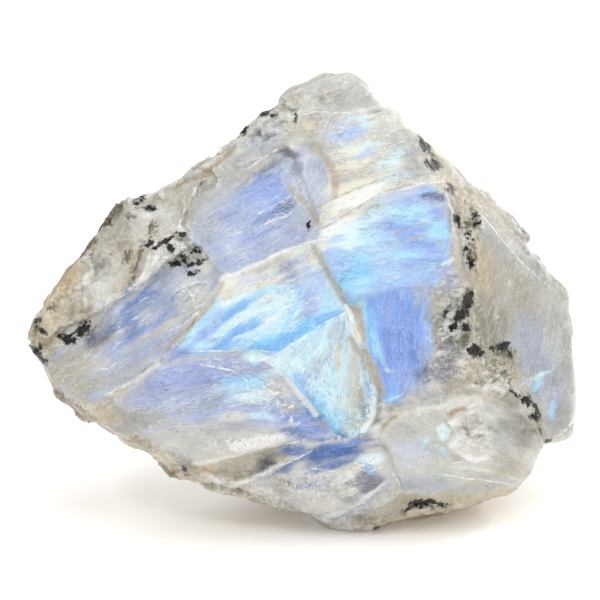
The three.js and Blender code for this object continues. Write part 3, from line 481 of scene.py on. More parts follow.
    ("turquoise", (338, 415), 12, 7, -30, 0.4), ("grey", (364, 420), 18, 5, 10, 0.6),
    ("warm grey", (456, 204), 8, 9, 0, 0.7), ("warm grey", (450, 252), 6, 8, 0, 0.6),
    ("dark slate", (90, 335), 8, 8, 20, 0.7), ("warm grey", (84, 392), 24, 8, -40, 0.5),
    ("light grey", (106, 362), 14, 8, 30, 0.5), ("cool grey", (152, 314), 14, 5, 34, 0.6),
    ("light grey", (100, 314), 12, 5, 34, 0.5), ("warm grey", (500, 388), 14, 5, 0, 0.6),
    ("light grey", (190, 252), 8, 6, 0, 0.5), ("light grey", (556, 345), 8, 22, 0, 0.6),
    ("light grey", (520, 258), 22, 10, -50, 0.5), ("light grey", (540, 296), 12, 22, 0, 0.4),
]

# Where the CAD stone's small steps are softened: (middle, half length, half width, angle, strength)
SOFTENED = [
    ((402, 298), 56, 12, 6, 1.0), ((250, 182), 52, 12, 34, 0.9), ((112, 342), 52, 12, 28, 0.9),
]
# How roughly broken the stone is: (middle, half length, half width, angle, strength)
ROUGH = [
    ((330, 92), 70, 16, 4, 0.4), ((270, 122), 60, 16, 36, 0.7), ((206, 178), 40, 14, 34, 0.6),
    ((430, 176), 20, 50, 34, 0.4), ((560, 300), 16, 60, 0, 0.5), ((520, 240), 14, 50, 40, 0.5),
    ((150, 450), 60, 12, -30, 0.6), ((330, 520), 80, 14, 0, 0.6), ((70, 300), 30, 40, 0, 0.7),
    ((492, 372), 30, 24, 0, 1.0), ((100, 262), 62, 24, 52, 0.5), ((108, 222), 44, 9, 50, 0.9),
    ((40, 342), 14, 24, 0, 0.35), ((184, 252), 30, 22, 0, 0.8), ((200, 166), 90, 10, 36, 0.6),
    ((474, 240), 10, 74, 8, 0.7), ((456, 320), 18, 36, 0, 0.8), ((80, 408), 52, 7, -40, 0.6),
    ((290, 476), 96, 28, -6, 0.75), ((472, 432), 28, 24, 0, 0.9), ((440, 440), 60, 40, 0, 0.35),
    ((430, 506), 64, 12, 8, 0.5), ((240, 494), 74, 12, -14, 0.9), ((566, 400), 10, 50, 0, 0.4),
    ((530, 420), 12, 34, 30, 0.7), ((262, 394), 44, 24, -10, 0.5), ((442, 350), 20, 44, 0, 0.5),
    ((192, 292), 22, 22, 0, 0.5), ((436, 150), 14, 30, 42, 0.7),
]
PLAINLY_ROUGH = 0.08  # elsewhere on the face
ROUGH_BEHIND = 0.7  # on the sides and the back

# Where the stone is frosted with fine white flecks: (middle, half length, half width, angle,
# strength)
FROST = [
    ((262, 388), 34, 20, -10, 0.8), ((290, 410), 24, 12, -40, 0.9), ((240, 362), 30, 6, 6, 0.5),
    ((244, 440), 42, 8, 8, 1.0), ((230, 482), 34, 8, -14, 0.9), ((300, 440), 20, 8, -20, 0.7),
    ((470, 434), 30, 24, -20, 0.6), ((424, 410), 26, 5, 14, 0.6), ((350, 508), 36, 6, 26, 0.7),
    ((192, 290), 16, 14, 10, 0.8), ((178, 252), 30, 16, 20, 0.9), ((94, 290), 16, 12, 34, 0.5),
    ((198, 312), 16, 5, 40, 0.8), ((152, 214), 16, 10, 0, 0.6), ((448, 318), 16, 24, 0, 0.6),
    ((450, 360), 18, 24, 0, 0.4), ((444, 286), 18, 12, 0, 0.5), ((350, 322), 4, 20, 18, 0.8),
    ((368, 412), 6, 18, 0, 0.7), ((366, 116), 14, 5, -12, 0.6), ((298, 190), 10, 26, 0, 0.6),
    ((288, 214), 18, 8, 20, 0.6), ((492, 372), 26, 22, 0, 0.8), ((316, 482), 44, 20, 10, 0.8),
    ((262, 494), 30, 10, -14, 0.9), ((366, 462), 18, 10, 0, 0.8), ((462, 234), 6, 34, 10, 0.5),
    ((560, 430), 10, 8, 0, 0.5),
]

# Wider bands where a crack or a ledge scatters the light, and darker bands along the lower rims that are
# partly painted shade: (colour, width, strength, points)
BANDS = [
    ("warm grey", 7, 0.8, [(313, 147), (326, 158), (335, 178), (334, 194)]),
    ("warm grey", 5, 0.8, [(290, 188), (299, 198), (309, 208), (319, 224)]),
    ("warm grey", 5, 0.7, [(313, 246), (321, 260), (331, 280), (344, 304)]),
    ("grey", 3, 0.7, [(315, 246), (324, 263), (334, 283), (346, 304)]),
    ("warm white", 3, 0.6, [(316, 262), (326, 282), (338, 304)]),
    ("white", 5, 0.95, [(345, 306), (350, 316), (352, 326), (358, 340)]),
    ("warm grey", 5, 0.8, [(357, 310), (361, 324), (364, 338)]),
    ("grey", 5, 0.8, [(349, 336), (358, 350), (369, 368), (376, 386), (379, 404), (378, 418)]),
    ("beige", 2.4, 0.5, [(350, 338), (359, 351), (370, 369), (376, 386)]),
    ("warm grey", 6, 0.7, [(364, 350), (374, 368), (380, 388)]),
    ("white", 4, 0.9, [(371, 396), (374, 408), (370, 418), (362, 428)]),
    ("warm white", 3, 0.7, [(222, 278), (256, 267), (290, 248), (316, 240)]),
    ("warm grey", 4, 0.7, [(224, 282), (212, 304), (194, 322), (178, 336), (166, 352)]),
    ("beige", 2, 0.5, [(222, 282), (209, 304), (191, 322), (176, 335)]),
    ("warm white", 3, 0.8, [(160, 364), (142, 376), (122, 386), (110, 394)]),
    ("warm grey", 5, 0.7, [(112, 396), (104, 404), (96, 410)]),
    ("white", 5, 0.8, [(288, 378), (298, 391), (308, 402), (316, 412)]),
    ("beige", 5, 0.6, [(412, 132), (430, 155), (448, 182), (462, 215), (470, 250), (471, 288)]),
    ("warm grey", 6, 0.7, [(462, 392), (480, 386), (505, 388), (530, 406), (540, 438)]),
    ("warm white", 5, 0.8, [(392, 418), (402, 411), (420, 408), (440, 404), (462, 394)]),
    ("tan", 4, 0.7, [(380, 428), (386, 420), (394, 414)]),
    ("white", 2, 0.8, [(301, 506), (310, 513), (320, 518)]),
    ("cool grey", 8, 0.9, [(322, 517), (338, 513), (356, 505), (370, 495), (384, 483), (391, 472)]),
    ("white", 3.5, 0.7, [(324, 516), (338, 511), (356, 502), (370, 491), (384, 480)]),
    ("white", 4, 0.8, [(212, 474), (222, 482), (234, 484), (250, 477), (268, 469), (282, 461)]),
    ("warm white", 5, 0.7, [(252, 488), (268, 490), (282, 502)]),
    ("warm white", 4, 0.7, [(196, 460), (220, 456), (244, 449)]),
    ("shade", 3, 0.7, [(50, 380), (66, 394), (82, 408), (94, 418)]),
    # brown along the lower left rims: partly their own tan, partly painted shade on faces that turn down
    # towards the table
    ("brown", 5, 0.9, [(44, 368), (54, 386), (68, 402), (86, 418), (104, 436)]),
    ("brown", 6, 0.9, [(112, 438), (136, 452), (152, 462), (170, 474), (190, 484), (214, 494),
                       (240, 504), (270, 515)]),
    ("brown", 5, 0.8, [(86, 254), (94, 240), (104, 222), (116, 208), (122, 202)]),
    ("tan", 4, 0.7, [(44, 308), (52, 294), (62, 280), (74, 262), (84, 254)]),
    ("tan", 4, 0.6, [(176, 190), (196, 176), (216, 166), (236, 148)]),
    ("white", 3, 0.8, [(152, 256), (148, 268), (142, 280), (132, 288)]),
    ("shade", 3, 0.5, [(168, 250), (160, 262), (152, 278)]),
    # this icy line is a painted glint
    ("ice", 3, 0.8, [(440, 264), (446, 261), (451, 258)]),
]

# Cracks that show as fine light lines, and as fine dark ones: (width in pixels, points)
LIGHT_LINES = [
    (1.2, [(222, 277), (256, 266), (290, 248), (316, 240)]),
    (1.4, [(345, 312), (325, 321), (300, 338), (282, 350), (262, 358)]),
    (1.2, [(200, 349), (230, 349), (262, 349), (280, 350)]),
    (1.6, [(204, 363), (218, 366), (236, 369)]),
    (1.2, [(110, 392), (122, 386), (142, 375), (160, 363)]),
    (1.2, [(170, 330), (184, 324), (200, 312)]),
    (1.2, [(152, 281), (136, 289), (118, 298), (106, 310)]),
    (1.2, [(150, 224), (158, 240), (150, 256), (146, 272)]),
    (1.2, [(180, 232), (184, 214), (186, 198)]),
    (1.0, [(400, 190), (420, 184), (446, 182)]),
    (1.2, [(378, 403), (392, 396), (402, 391)]),
    (1.2, [(392, 471), (398, 480), (396, 490)]),
    (1.2, [(440, 471), (462, 475), (486, 478), (508, 482)]),
    (1.2, [(458, 451), (467, 456), (474, 459), (487, 456)]),
    (1.2, [(465, 411), (480, 407)]),
    (1.0, [(466, 405), (478, 400)]),
    (1.0, [(450, 460), (462, 459)]),
    (1.0, [(196, 460), (232, 454), (262, 446), (300, 438)]),
    (1.0, [(284, 462), (296, 455), (312, 447)]),
    (1.0, [(276, 470), (284, 480), (296, 484)]),
    (1.0, [(340, 492), (352, 484), (366, 492)]),
    (1.0, [(336, 476), (348, 470), (354, 478)]),
    (1.2, [(326, 496), (341, 481), (351, 471)]),
    (1.0, [(336, 497), (351, 491), (359, 501)]),
    (1.4, [(233, 483), (251, 477), (268, 468), (291, 458), (311, 448)]),
    (1.2, [(300, 470), (316, 464), (334, 468)]),
    (1.2, [(356, 466), (368, 470), (380, 464)]),
    (1.2, [(556, 434), (564, 428), (572, 418)]),
    (1.0, [(520, 382), (534, 374), (548, 371)]),
    (1.0, [(480, 214), (500, 240), (520, 262), (552, 290)]),
    (1.0, [(272, 108), (292, 118), (316, 112), (352, 114)]),
    (1.0, [(250, 168), (264, 158), (276, 150)]),
    (1.0, [(260, 214), (276, 206), (292, 196)]),
    (1.0, [(262, 226), (276, 220), (290, 214)]),
    (1.0, [(58, 344), (74, 342), (90, 336)]),
    (1.0, [(98, 368), (110, 366), (120, 360)]),
    (1.2, [(440, 340), (448, 334), (456, 330)]),
]
DARK_LINES = [
    (1.4, [(320, 248), (331, 270), (341, 290), (348, 306)]),
    (2.2, [(318, 229), (327, 226), (349, 213), (370, 200), (385, 191), (398, 187), (410, 184)]),
    (1.8, [(394, 233), (410, 227), (430, 221), (449, 214)]),
    (1.8, [(384, 244), (404, 240), (420, 235), (434, 239), (449, 249)]),
    (1.0, [(414, 270), (428, 265), (442, 261)]),
    (1.8, [(317, 207), (337, 197), (359, 188), (385, 178)]),
    (0.9, [(332, 180), (356, 172), (384, 166)]),
    (0.9, [(334, 164), (356, 158), (380, 152)]),
    (1.0, [(328, 264), (345, 256), (360, 250)]),
    (1.0, [(176, 352), (190, 330), (212, 304)]),
    (1.2, [(50, 378), (68, 394), (84, 408), (98, 420)]),
    (1.0, [(120, 440), (160, 458), (196, 470)]),
    (1.2, [(112, 301), (118, 294)]),
    (1.2, [(396, 492), (430, 494), (455, 484), (468, 478), (486, 478)]),
    (1.4, [(444, 418), (451, 430)]),
    (1.0, [(466, 414), (480, 411)]),
    (1.0, [(466, 408), (479, 403)]),
    (1.2, [(450, 412), (460, 408)]),
    (1.0, [(232, 346), (222, 352), (206, 354)]),
    (1.0, [(240, 364), (250, 373), (262, 378)]),
    (1.2, [(471, 290), (470, 320), (468, 340)]),
    (1.2, [(482, 350), (490, 346)]),
    (1.0, [(264, 432), (270, 440)]),
    (1.2, [(275, 470), (281, 477), (292, 482)]),
    (1.0, [(250, 430), (262, 430)]),
    (1.0, [(300, 380), (312, 400), (330, 420)]),
]

# Black grains grown into the stone: (middle, half length, half width, angle)
GRAINS = [
    ((183, 235), 6, 3.2, -10), ((197, 249), 5, 2.8, 10), ((172, 248), 4, 3.5, -40),
    ((184, 257), 4, 3.4, 10), ((177, 262), 7, 3, 0), ((191, 264), 6, 2.6, 4),
    ((201, 261), 6, 2.4, 30), ((191, 273), 5, 3, -20), ((197, 271), 3, 2.5, 0),
    ((166, 242), 12, 2, 30), ((152, 242), 5, 2.4, 40), ((85, 329), 9, 5, 52),
    ((70, 338), 8, 5, -10), ((60, 334), 4, 1.6, -20), ((38, 319), 6, 2, 10),
    ((44, 328), 7, 2.4, -40), ((39, 351), 8, 3.4, -50), ((46, 359), 4, 2.6, -50),
    ((42, 346), 4, 2, -60), ((424, 145), 9, 5.4, -58), ((433, 166), 6, 5.6, -60),
    ((426, 164), 5, 2, -70), ((449, 188), 6, 3, -62), ((456, 221), 7, 3, -62),
    ((466, 232), 4.5, 2.6, 70), ((471, 216), 3, 2.6, 0), ((474, 224), 2.5, 1.8, 0),
    ((464, 249), 3.5, 1.8, 85), ((469, 262), 6, 2.8, -72), ((470, 241), 1.8, 1.4, 0),
    ((466, 300), 11, 5.5, 80), ((460, 313), 9, 6, 40), ((452, 324), 7, 3, 60),
    ((444, 312), 6, 2, 70), ((464, 326), 4, 5, 0), ((474, 349), 8, 6.5, -20),
    ((491, 347), 3.4, 3, 0), ((501, 345), 6, 5, 30), ((508, 352), 2.6, 3, 0),
    ((511, 390), 4.4, 2, -50), ((515, 394), 2.4, 2, 0), ((525, 398), 5.4, 4, -40),
    ((532, 404), 6, 2.2, -60), ((533, 415), 5, 4.4, -30), ((538, 428), 4, 1.8, -80),
    ((546, 439), 3, 1.4, 10), ((424, 501), 13, 2.8, 0), ((442, 503), 5, 2, 10),
    ((407, 505), 6, 1.4, 36), ((376, 525), 3.4, 2.4, 20), ((185, 468), 3.4, 2.4, -50),
    ((188, 473), 2.4, 1.6, 0), ((138, 203), 3.2, 3.6, 0), ((143, 198), 3.4, 2.2, 40),
    ((152, 208), 5.4, 2.6, -6), ((265, 113), 7, 2.6, 34), ((273, 116), 3.4, 2, -20),
    ((243, 130), 6, 1.8, 45), ((296, 120), 1.2, 5, 0), ((308, 225), 1.2, 3, 0),
]
BROWN_GRAINS = [
    ((154, 228), 5, 7, -20), ((128, 256), 5, 8, -30), ((136, 268), 4.4, 7, -40),
    ((115, 208), 10, 6, 50), ((106, 222), 12, 4, 40), ((93, 243), 10, 5, 52),
    ((84, 256), 6, 4, 60), ((142, 252), 3, 10, -16), ((134, 280), 3, 6, -30),
    ((64, 392), 8, 2.4, -40), ((468, 252), 4, 8, 0), ((462, 172), 8, 2.4, -40),
    ((38, 326), 4, 5, 0), ((462, 338), 7, 9, 0), ((430, 156), 12, 3, -50),
    ((502, 350), 10, 5, 0), ((132, 216), 5, 4, 0), ((466, 224), 6, 5, 0), ((472, 256), 3, 10, 0),
]


def linear(colour):
    """A palette colour as linear light."""
    share = np.array(PALETTE[colour]) / 255
    return np.where(share <= 0.04045, share / 12.92, ((share + 0.055) / 1.055) ** 2.4)


# ---------------------------------------------------------------- places and noise


def face_places(points, box):
    """Where points lie on the face, in the photograph's pixels to the right and down."""
    height = points @ VIEW_UP
    right = LEFT_PX + (points[:, 0] - box[0][0]) / PIXEL
    down = TOP_PX + (height.max() - height) / PIXEL
    return np.column_stack([right, down])


def rotated(places, middle, angle):
    """Places measured along and across a direction, from a middle."""
    turn = math.radians(angle)
    offset = places - np.array(middle)
    along = offset[:, 0] * math.cos(turn) - offset[:, 1] * math.sin(turn)
    across = offset[:, 0] * math.sin(turn) + offset[:, 1] * math.cos(turn)
    return along, across


def off_segment(places, start, end):
    """How far places are from the line between two points, positive on one side of it."""
    along = np.subtract(end, start)
    share = ((places - start) @ along / (along @ along)).clip(0, 1)
    offset = places - start - share[:, None] * along
    side = np.where(along[0] * offset[:, 1] > along[1] * offset[:, 0], 1, -1)
    return side * np.linalg.norm(offset, axis=1)


def depth_inside(places, outline):
    """How far places lie inside an outline, in pixels. Those outside it are negative."""
    inside = np.zeros(len(places), bool)
    gap = np.full(len(places), np.inf)
    x, y = places.T
    for start, end in zip(outline, outline[1:] + outline[:1]):
        gap = np.minimum(gap, abs(off_segment(places, start, end)))
        if start[1] != end[1]:
            crosses = (start[1] > y) != (end[1] > y)
            edge = (end[0] - start[0]) * (y - start[1]) / (end[1] - start[1]) + start[0]
            inside ^= crosses & (x < edge)
    return np.where(inside, gap, -gap)


def line_field(places, lines):
    """The nearest line's distance, signed by side, in half widths and then plainly in pixels."""
    near = np.full(len(places), FAR)
    signed = np.full(len(places), FAR)
    for width, points in lines:
        for start, end in zip(points, points[1:]):
            offset = off_segment(places, start, end)
            closer = abs(offset) < near
            near[closer] = abs(offset)[closer]
            signed[closer] = (offset / (width / 2)).clip(-FAR, FAR)[closer]
    return signed, near


def ellipse_reach(places, middle, half_length, half_width, angle):
    """0 in an ellipse's middle, 1 on its edge and more outside it."""
    along, across = rotated(places, middle, angle)
    return np.hypot(along / half_length, across / half_width)


def strongest(places, spots, least):
    """The strongest of some soft spots at each place, and never less than the least."""
    most = np.full(len(places), least)
    for middle, half_length, half_width, angle, strength in spots:
        reach = ellipse_reach(places, middle, half_length, half_width, angle)
        most = np.maximum(most, strength * smooth(1.3, 0.3, reach))
    return most


def smooth(low, high, value):
    """0 at low, 1 at high and a soft step between."""
    share = ((value - low) / (high - low)).clip(0, 1)
    return share * share * (3 - 2 * share)


def noise_at(points, size, seed):
    """Noise at 3-D points, with waves of about this size. Each seed is another pattern."""
    shift = Vector((seed * 17.3, seed * 5.1, seed * 9.7))
    return np.array([noise.noise(Vector(p) + shift) for p in points / size])


def noises_at(points, size, seeds):
    """Noise patterns side by side, one for each seed."""
    return np.column_stack([noise_at(points, size, seed) for seed in seeds])


def streaks_at(fibre, length, width, seed):
    """Noise drawn out along the cleavage: its waves are this long and this wide, in pixels."""
    return noise_at(fibre * (1 / length, 1 / width, 1), 1, seed)


def chips_at(points, size, seed):
    """Broken facets: each point belongs to the nearest of many scattered seeds and leans its way."""
    shift = Vector((seed * 3.7, seed * 11.9, seed * 7.3))
    heights = []
    for point in points / size:
        place = Vector(point) + shift
        middle = noise.voronoi(place)[1][0]
        lean = noise.cell_vector(middle * 57) - Vector((0.5, 0.5, 0.5))
        heights.append((place - middle).dot(lean))
    return np.array(heights)


# ---------------------------------------------------------------- the fine surface


def welded(mesh):
    """A mesh's points and triangles, with points that share a place made one."""
    points = np.empty(len(mesh.vertices) * 3)
    mesh.vertices.foreach_get("co", points)
    mesh.calc_loop_triangles()
    faces = np.empty(len(mesh.loop_triangles) * 3, int)
    mesh.loop_triangles.foreach_get("vertices", faces)
    whole = np.round(points.reshape(-1, 3) * WELD_STEPS).astype(np.int64)
    _, first, place = np.unique(whole, axis=0, return_index=True, return_inverse=True)
    return points.reshape(-1, 3)[first], place.reshape(-1)[faces].reshape(-1, 3)


def subdivided(points, faces):
    """Every triangle cut into four at the middles of its edges."""
    edges = np.sort(faces[:, [0, 1, 1, 2, 2, 0]].reshape(-1, 2), axis=1)
    unique, index = np.unique(edges, axis=0, return_inverse=True)
    a, b, c = faces.T
    ab, bc, ca = len(points) + index.reshape(-1, 3).T
    parts = [(a, ab, ca), (ab, b, bc), (ca, bc, c), (ab, bc, ca)]
    cut = np.vstack([np.column_stack(part) for part in parts])
    return np.vstack([points, points[unique].mean(axis=1)]), cut


def relaxed(values, faces, amount=0.8, rounds=1):
    """Values at the points moved towards the mean of their neighbours', again and again."""
    for _ in range(rounds):
        total = np.zeros_like(values)
        count = np.zeros((len(values), 1))
        for a, b in ((0, 1), (1, 2), (2, 0)):
            for here, there in ((a, b), (b, a)):
                np.add.at(total, faces[:, here], values[faces[:, there]])
                np.add.at(count, faces[:, here], 1)
        values = values + amount * (total / count - values)
    return values


def normals_of(points, faces):
    """The direction in which the surface faces at each point."""
    corners = points[faces]
    face = np.cross(corners[:, 1] - corners[:, 0], corners[:, 2] - corners[:, 0])
    total = np.zeros_like(points)
    for corner in range(3):
        np.add.at(total, faces[:, corner], face)
    return total / np.linalg.norm(total, axis=1)[:, None]


def fine_surface(mesh):
    """The CAD stone's skin, cut finer and softened a little, with its foot kept flat."""
    points, faces = welded(mesh)
    for _ in range(CUTS):
        points, faces = subdivided(points, faces)
        softer = relaxed(points, faces, amount=0.5)
        foot = points[:, 2] < FOOT_TOP
        softer[foot] = points[foot]
        points = softer
    return points, faces


def softened(points, faces, places):
    """The fine surface with some of its steps eased."""
    eased = relaxed(points, faces, rounds=EASING_ROUNDS)
    return points + (eased - points) * strongest(places, SOFTENED, 0)[:, None]


def roughened(points, faces, rough, fibre):
    """The fine surface with broken chips where it is rough, and low waves along its cleavage."""
    bent = points + CHIP_BEND * noises_at(points, 1.6 * MM, (61, 62, 63))
    chips = 0
    for seed, (size, height) in enumerate(CHIPS, 1):
        chips = chips + height * chips_at(bent, size * MM, seed)
    grain = 0.12 * noise_at(points, 0.8 * MM, 3)
    waves = WAVE_HEIGHT * (1 - rough) * streaks_at(fibre, 60, 14, 4)
    height = waves + rough * (chips + grain)
    height *= smooth(0.0, FOOT_FADE, points[:, 2])
    moved = points + normals_of(points, faces) * (height * MM)[:, None]
    moved[:, 2] = np.maximum(moved[:, 2], 0)
    return moved


def ridges_of(points, faces):
    """How far each point stands out from the surface round it, in millimetres."""
    flat = relaxed(points, faces, rounds=NEARBY_ROUNDS)
    return ((points - flat) * normals_of(flat, faces)).sum(axis=1) / MM


def facing_camera(points, faces):
    """How squarely the surface round each point faces the camera."""
    facing = (normals_of(points, faces) @ TOWARDS_CAMERA)[:, None]
    return relaxed(facing, faces, rounds=NEARBY_ROUNDS)[:, 0]


# ---------------------------------------------------------------- what is where on the stone


def warp_at(points):
    """How far the painted edges wander at each point, in pixels to the right and down."""
    return 2.6 * noises_at(points, 2.4 * MM, (21, 22)) + 1.4 * noises_at(points, 0.9 * MM, (23, 24))


def zone_covers(places, front):
    """How fully each zone covers each point, and how far the nearest zone's outline is."""
    covers = []
    seam = np.full(len(places), FAR)
    for zone in ZONES.values():
        half = zone["soft"] / 2
        depth = depth_inside(places, zone["outline"])
        covers.append(front * smooth(-half, half, depth))
        seam = np.minimum(seam, abs(depth))
    return covers, seam


def clearness(covers):
    """How clear the stone is at each point: 0 in broken rock, and up to 1 in the zones."""
    clear = np.zeros(len(covers[0]))
    for zone, cover in zip(ZONES.values(), covers):
        clear += (zone.get("clear", 1) - clear) * cover
    return clear


def grain_of(zone, places):
    """Places along and across an area's grain. A fan's grain spreads from its apex."""
    if "apex" not in zone:
        return rotated(places, (0, 0), zone["grain"])
    offset = places - np.array(zone["apex"])
    return np.linalg.norm(offset, axis=1), np.degrees(np.arctan2(*offset.T)) * FAN_SPREAD


def fibre_places(points, places, covers, clear):
    """Places along and across the nearest grain, and a depth that sets the areas apart."""
    along, across = rotated(places, (0, 0), ROCK_ANGLE)
    depth = points[:, 1] / PIXEL * (1 - clear)
    for number, (zone, cover) in enumerate(zip(ZONES.values(), covers)):
        mine = cover > 0.5
        along[mine], across[mine] = grain_of(zone, places[mine])
        depth[mine] = number * ZONE_SPACING
    return np.column_stack([along, across, depth])


def roughness_at(places, front, clear):
    """How roughly broken the stone is at each point."""
    rough = strongest(places, ROUGH, PLAINLY_ROUGH) * (1 - 0.6 * clear)
    return rough * front + ROUGH_BEHIND * (1 - front)


def grain_depth(places, grains):
    """How far inside the nearest grain each place is, in pixels: above 0 is inside."""
    deepest = np.full(len(places), -FAR)
    for middle, half_length, half_width, angle in grains:
        reach = ellipse_reach(places, middle, half_length, half_width, angle)
        deepest = np.maximum(deepest, (1 - reach) * math.sqrt(half_length * half_width))
    return deepest


def scattered_grains(points):
    """The depth inside clusters of grains on the sides and the back, as grain_depth gives it."""
    cluster = noise_at(points, 4 * MM, 94) + 0.5 * noise_at(points, 1.2 * MM, 95)
    return (cluster - 0.58) * 16


def marks_at(points, places, front):
    """The depth inside the black grains and inside the brown ones."""
    behind = scattered_grains(points)
    black = np.where(front > 0.5, grain_depth(places, GRAINS), behind)
    brown = np.where(front > 0.5, grain_depth(places, BROWN_GRAINS), behind + 1)
    return black, brown


def cracks_at(places, lines, front, extra):
    """A field that the material draws a set of cracks from, with another value beside it."""
    signed, near = line_field(places, lines)
    return np.column_stack([signed, near + FAR * (1 - front), extra])


# ---------------------------------------------------------------- painting


class Paint:
    """A deep, a middle and a light tone at every point, which the material mixes in streaks."""

    def __init__(self, count):
        self.tones = [np.tile(linear("light grey"), (count, 1)) for _ in TONES]

    def lay(self, colours, cover):
        """Covers the three tones with three colours, or with a darker and lighter kind of one."""
        if isinstance(colours, str):
            colour = linear(colours)
            aims = (colour * 0.78, colour, colour + (1 - colour) * (0.08 + 0.5 * colour))
        else:
            aims = [linear(colour) for colour in colours]
        for tone, aim in zip(self.tones, aims):
            tone += (aim - tone) * cover[:, None]


def paint_rock(paint, points, ridges):
    """The broken rock all round: clouded whites and greys, with a painted highlight on its ridges and
    painted shade in its hollows.
    """
    fine = 0.3 * noise_at(points, 1.6 * MM, 12)
    paint.lay("warm grey", 0.7 * smooth(0.0, 0.5, noise_at(points, 6 * MM, 11) + fine))
    paint.lay("cool grey", 0.5 * smooth(0.1, 0.5, noise_at(points, 9 * MM, 13)))
    paint.lay("beige", 0.6 * smooth(0.1, 0.45, noise_at(points, 7 * MM, 14) + fine))
    paint.lay("warm white", 0.7 * smooth(0.0, 0.4, noise_at(points, 3 * MM, 15)))
    paint_ridge_highlight_and_hollow_shade(paint, ridges, 0.8)


def paint_ridge_highlight_and_hollow_shade(paint, ridges, strength):
    """A painted highlight, white, on what stands out a little, and painted shade, greys, in what lies deep.
    """
    paint.lay("white", 0.45 * strength * smooth(0.03, 0.16, ridges) * smooth(0.5, 0.25, ridges))
    paint.lay("warm grey", 0.6 * strength * smooth(-0.01, -0.1, ridges))
    paint.lay("shade", 0.6 * strength * smooth(-0.05, -0.2, ridges))


def paint_crystals(paint, places, front):
    for colour, strength, outline in CRYSTALS:
        paint.lay(colour, front * strength * smooth(-1, 1.5, depth_inside(places, outline)))


def paint_patches(paint, places, front, streak):
    """Soft patches of colour, whose edges break into streaks along the grain."""
    for colour, middle, half_length, half_width, angle, strength in PATCHES:
        reach = ellipse_reach(places, middle, half_length, half_width, angle) + streak
        paint.lay(colour, front * strength * smooth(1.4, 0.45, reach))


def paint_bands(paint, places, front, breaks):
    """Bands along lines, with edges that a noise breaks."""
    for colour, width, strength, points in BANDS:
        gap = abs(line_field(places, [(2, points)])[0])
        cover = smooth(width * 0.5 + 1.5, width * 0.5 - 1, gap + 1.5 * breaks)
        paint.lay(colour, front * strength * cover)


def painted(points, faces, box):
    """The roughened points and everything that the material reads at each of them."""
    places = face_places(points, box)
    front = smooth(*FRONT_FACING, facing_camera(points, faces))
    warp = warp_at(points)
    covers, seam = zone_covers(places + 0.7 * warp, front)
    clear = clearness(covers)
    fibre = fibre_places(points, places + 0.5 * warp, covers, clear)
    rough = roughness_at(places + warp, front, clear)
    points = roughened(softened(points, faces, places), faces, rough, fibre)

    ridges = ridges_of(points, faces)
    streak = 0.9 * streaks_at(fibre, 50, 9, 25) + 0.5 * streaks_at(fibre, 16, 4, 26)
    paint = Paint(len(points))
    paint_rock(paint, points, ridges)
    for zone, cover in zip(ZONES.values(), covers):
        paint.lay(zone["colours"], cover)
    paint_crystals(paint, places + 0.7 * warp, front)
    paint_patches(paint, places + warp, front, streak)
    paint_bands(paint, places + 0.6 * warp, front, noise_at(points, 0.6 * MM, 27))
    # painted highlight on the rough stone's ridges and painted shade in its hollows
    paint_ridge_highlight_and_hollow_shade(paint, ridges, rough * (1 - clear))

    frost = strongest(places + warp, FROST, 0.06) * front + 0.3 * (1 - front)
    rocky = np.maximum(rough, 0.35 * (1 - clear))
    places = places + 0.5 * warp
    black, brown = marks_at(points, places, front)
    values = dict(
        fibre=fibre,
        marks=np.column_stack([black, brown, clear * smooth(0.5, 3, seam)]),
        light_cracks=cracks_at(places, LIGHT_LINES, front, frost),
        dark_cracks=cracks_at(places, DARK_LINES, front, rocky),
    )
    values.update(zip(TONES, paint.tones))
    return points, values


# ---------------------------------------------------------------- materials


